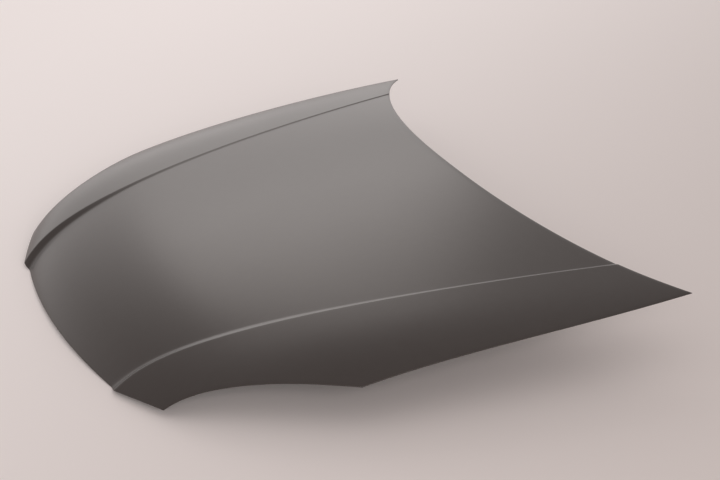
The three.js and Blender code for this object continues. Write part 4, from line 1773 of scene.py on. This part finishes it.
@dataclass(frozen=True)
class SoftGlow:
    """A soft bright patch of the room's walls, which fades with the angle from its middle."""

    azimuth: float
    elevation: float
    narrowness: float
    level: float

    def build(self, tree: bpy.types.NodeTree, place: bpy.types.NodeSocket) -> bpy.types.NodeSocket:
        """Add the glow's nodes.

        Args:
            tree: the world's node tree.
            place: the socket that gives the direction looked at.

        Returns:
            The socket that gives the glow's level in that direction.
        """
        a, e = math.radians(self.azimuth), math.radians(self.elevation)
        towards = tree.nodes.new("ShaderNodeVectorMath")
        towards.operation = "DOT_PRODUCT"
        middle = (math.sin(a) * math.cos(e), math.cos(a) * math.cos(e), math.sin(e))
        towards.inputs[1].default_value = middle
        tree.links.new(place, towards.inputs[0])
        value = towards.outputs["Value"]
        steps = (("MAXIMUM", 0.0), ("POWER", self.narrowness), ("MULTIPLY", self.level))
        for operation, amount in steps:
            step = tree.nodes.new("ShaderNodeMath")
            step.operation = operation
            step.inputs[1].default_value = amount
            tree.links.new(value, step.inputs[0])
            value = step.outputs[0]
        return value


@dataclass(frozen=True)
class Studio:
    """A pale floor that runs to the horizon, with a painted pool of light towards the far left, soft
    lamps and a room with two brighter walls.
    """

    lamps: tuple[SoftLamp, ...] = (
        SoftLamp("back_panel", 15, 33, 5.0, 2.2, 1.8, 1.6, (1.0, 0.97, 0.94)),
        SoftLamp("front_fill", 192, 24, 6.0, 4.0, 2.0, 4.1, (1.0, 0.96, 0.94)),
    )
    glows: tuple[SoftGlow, ...] = (SoftGlow(15, 0, 6, 1.19), SoftGlow(-30, 12, 14, 0.37))
    floor_tone: tuple[float, float, float] = (0.76, 0.685, 0.665)
    # Painted light: the floor's colour grows lighter towards the far left, from the floor's own tone
    # to this lighter one. This is a painted pool of light.
    painted_light_tone: tuple[float, float, float] = (0.97, 0.895, 0.885)
    painted_light_towards: tuple[float, float, float] = (-0.55, 0.95, 0.0)
    painted_light_start: float = -1.7
    painted_light_end: float = 1.9
    # Painted light: the floor's glow to the camera grows along the same ramp, which lifts the
    # painted pool of light further.
    painted_light_glow: float = 0.14
    floor_size: float = 60.0
    room_tone: tuple[float, float, float] = (1.0, 0.96, 0.94)
    room_level: float = 0.48

    def floor(self) -> bpy.types.Object:
        """Make the floor just under the bonnet, painted lighter towards the far left as a pool of
        light, and return it.

        Returns:
            The floor.
        """
        half = self.floor_size / 2
        corners = np.array([(-half, -half, 0), (half, -half, 0), (half, half, 0), (-half, half, 0)])
        plane = mesh_piece("floor", corners, [(0, 1, 2, 3)], Corner.PRESSED)
        material = bpy.data.materials.new("floor_paint_with_painted_light")
        material.use_nodes = True
        nodes, links = material.node_tree.nodes, material.node_tree.links
        surface = nodes["Principled BSDF"]
        surface.inputs["Roughness"].default_value = 0.9
        surface.inputs["Specular IOR Level"].default_value = 0.1
        surface.inputs["Emission Color"].default_value = (1.0, 0.95, 0.93, 1)
        # Painted light: the floor's colour is mixed towards a lighter tone along one direction. This
        # is a painted pool of light on the floor.
        towards = nodes.new("ShaderNodeVectorMath")
        towards.operation = "DOT_PRODUCT"
        towards.inputs[1].default_value = self.painted_light_towards
        ramp = nodes.new("ShaderNodeMapRange")
        ramp.interpolation_type = "SMOOTHSTEP"
        ramp.inputs["From Min"].default_value = self.painted_light_start
        ramp.inputs["From Max"].default_value = self.painted_light_end
        tone = nodes.new("ShaderNodeMix")
        tone.data_type = "RGBA"
        tone.inputs["A"].default_value = (*self.floor_tone, 1)
        tone.inputs["B"].default_value = (*self.painted_light_tone, 1)
        # Painted light: the camera-ray glow follows the same ramp and adds to the painted pool of
        # light.
        seen = nodes.new("ShaderNodeMath")
        seen.operation = "MULTIPLY"
        lift = nodes.new("ShaderNodeMath")
        lift.operation = "MULTIPLY"
        lift.inputs[1].default_value = self.painted_light_glow
        links.new(nodes.new("ShaderNodeTexCoord").outputs["Object"], towards.inputs[0])
        links.new(towards.outputs["Value"], ramp.inputs["Value"])
        links.new(ramp.outputs["Result"], tone.inputs["Factor"])
        links.new(tone.outputs["Result"], surface.inputs["Base Color"])
        links.new(ramp.outputs["Result"], seen.inputs[0])
        links.new(nodes.new("ShaderNodeLightPath").outputs["Is Camera Ray"], seen.inputs[1])
        links.new(seen.outputs[0], lift.inputs[0])
        links.new(lift.outputs[0], surface.inputs["Emission Strength"])
        plane.data.materials.append(material)
        return plane

    def room(self) -> None:
        """Set the light of the room: an even level and the glows on its walls."""
        world = bpy.data.worlds.new("room")
        world.use_nodes = True
        tree = world.node_tree
        background = tree.nodes["Background"]
        background.inputs["Color"].default_value = (*self.room_tone, 1)
        place = tree.nodes.new("ShaderNodeTexCoord").outputs["Generated"]
        level = None
        for glow in self.glows:
            both = tree.nodes.new("ShaderNodeMath")
            both.operation = "ADD"
            both.inputs[1].default_value = self.room_level
            tree.links.new(glow.build(tree, place), both.inputs[0])
            if level is not None:
                tree.links.new(level, both.inputs[1])
            level = both.outputs[0]
        tree.links.new(level, background.inputs["Strength"])
        bpy.context.scene.world = world

    def build(self) -> None:
        """Make the floor, the lamps and the room."""
        self.floor()
        for lamp in self.lamps:
            lamp.build()
        self.room()
        bpy.context.scene.view_settings.view_transform = "Standard"


@dataclass(frozen=True)
class Bonnet:
    """The whole bonnet: its fine pieces, and the solids that stay, with their finishes."""

    skin_finish: PrimerFinish = PrimerFinish("skin_primer", (0.044, 0.036, 0.033), 0.295, 0.06)
    frame_finish: PrimerFinish = PrimerFinish("frame_primer", (0.050, 0.046, 0.044), 0.42, 0.10)
    zinc_finish: ZincFinish = ZincFinish()
    mastic_finish: MasticFinish = MasticFinish()

    def dress_solids(self, finishes: dict[str, bpy.types.Material]) -> None:
        """Give each solid of the frame the finish of its slot in the record.

        Args:
            finishes: the material of each slot.
        """
        slots = {row["node"]: row["material_slot"] for row in frame["record"]["subparts"]}
        for name, solid in frame["nodes"].items():
            material = finishes[slots[name]]
            solid.data.materials.clear()
            solid.data.materials.append(material)
            log.info("%s wears %s", name, material.name)

    def fit(
        self,
        piece: bpy.types.Object,
        slot: str,
        finishes: dict[str, bpy.types.Material],
        *nodes: str,
    ) -> None:
        """Finish a fine piece and put it in place of its solids.

        Args:
            piece: the fine piece, already where its solids are.
            slot: the record's slot that it takes its finish from.
            finishes: the material of each slot.
            nodes: the solids that it replaces.
        """
        piece.data.materials.clear()
        piece.data.materials.append(finishes[slot])
        if nodes:
            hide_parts(*nodes)
        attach(piece, ROOT)
        log.info("%s has %d faces", piece.name, len(piece.data.polygons))

    def build(self) -> None:
        """Make the finishes, dress the solids and put the fine pieces in their places."""
        film = build_sprayed_film()
        finishes = {
            "skin_primer": self.skin_finish.build(film),
            "frame_primer": self.frame_finish.build(film),
            "zinc_plate": self.zinc_finish.build(film),
            "mastic": self.mastic_finish.build(film),
        }
        self.dress_solids(finishes)
        shape = SkinShape()
        self.fit(OuterSkin(shape).build(), "skin_primer", finishes, "outer_skin")
        sheet = InnerFrame(shape)
        pressing, seats = sheet.build()
        self.fit(pressing, "frame_primer", finishes, "inner_frame")
        for piece, slot, node in Hardware().build(sheet, seats):
            self.fit(piece, slot, finishes, node)
        dabs = sorted(node for node in frame["nodes"] if node.startswith("mastic_dab_"))
        self.fit(MasticDabs(shape).build(dabs, finishes["mastic"]), "mastic", finishes, *dabs)


def main() -> None:
    """Build the view, the studio and the bonnet, in that order."""
    PhotoView().build()
    Studio().build()
    Bonnet().build()


if __name__ == "__main__":
    main()
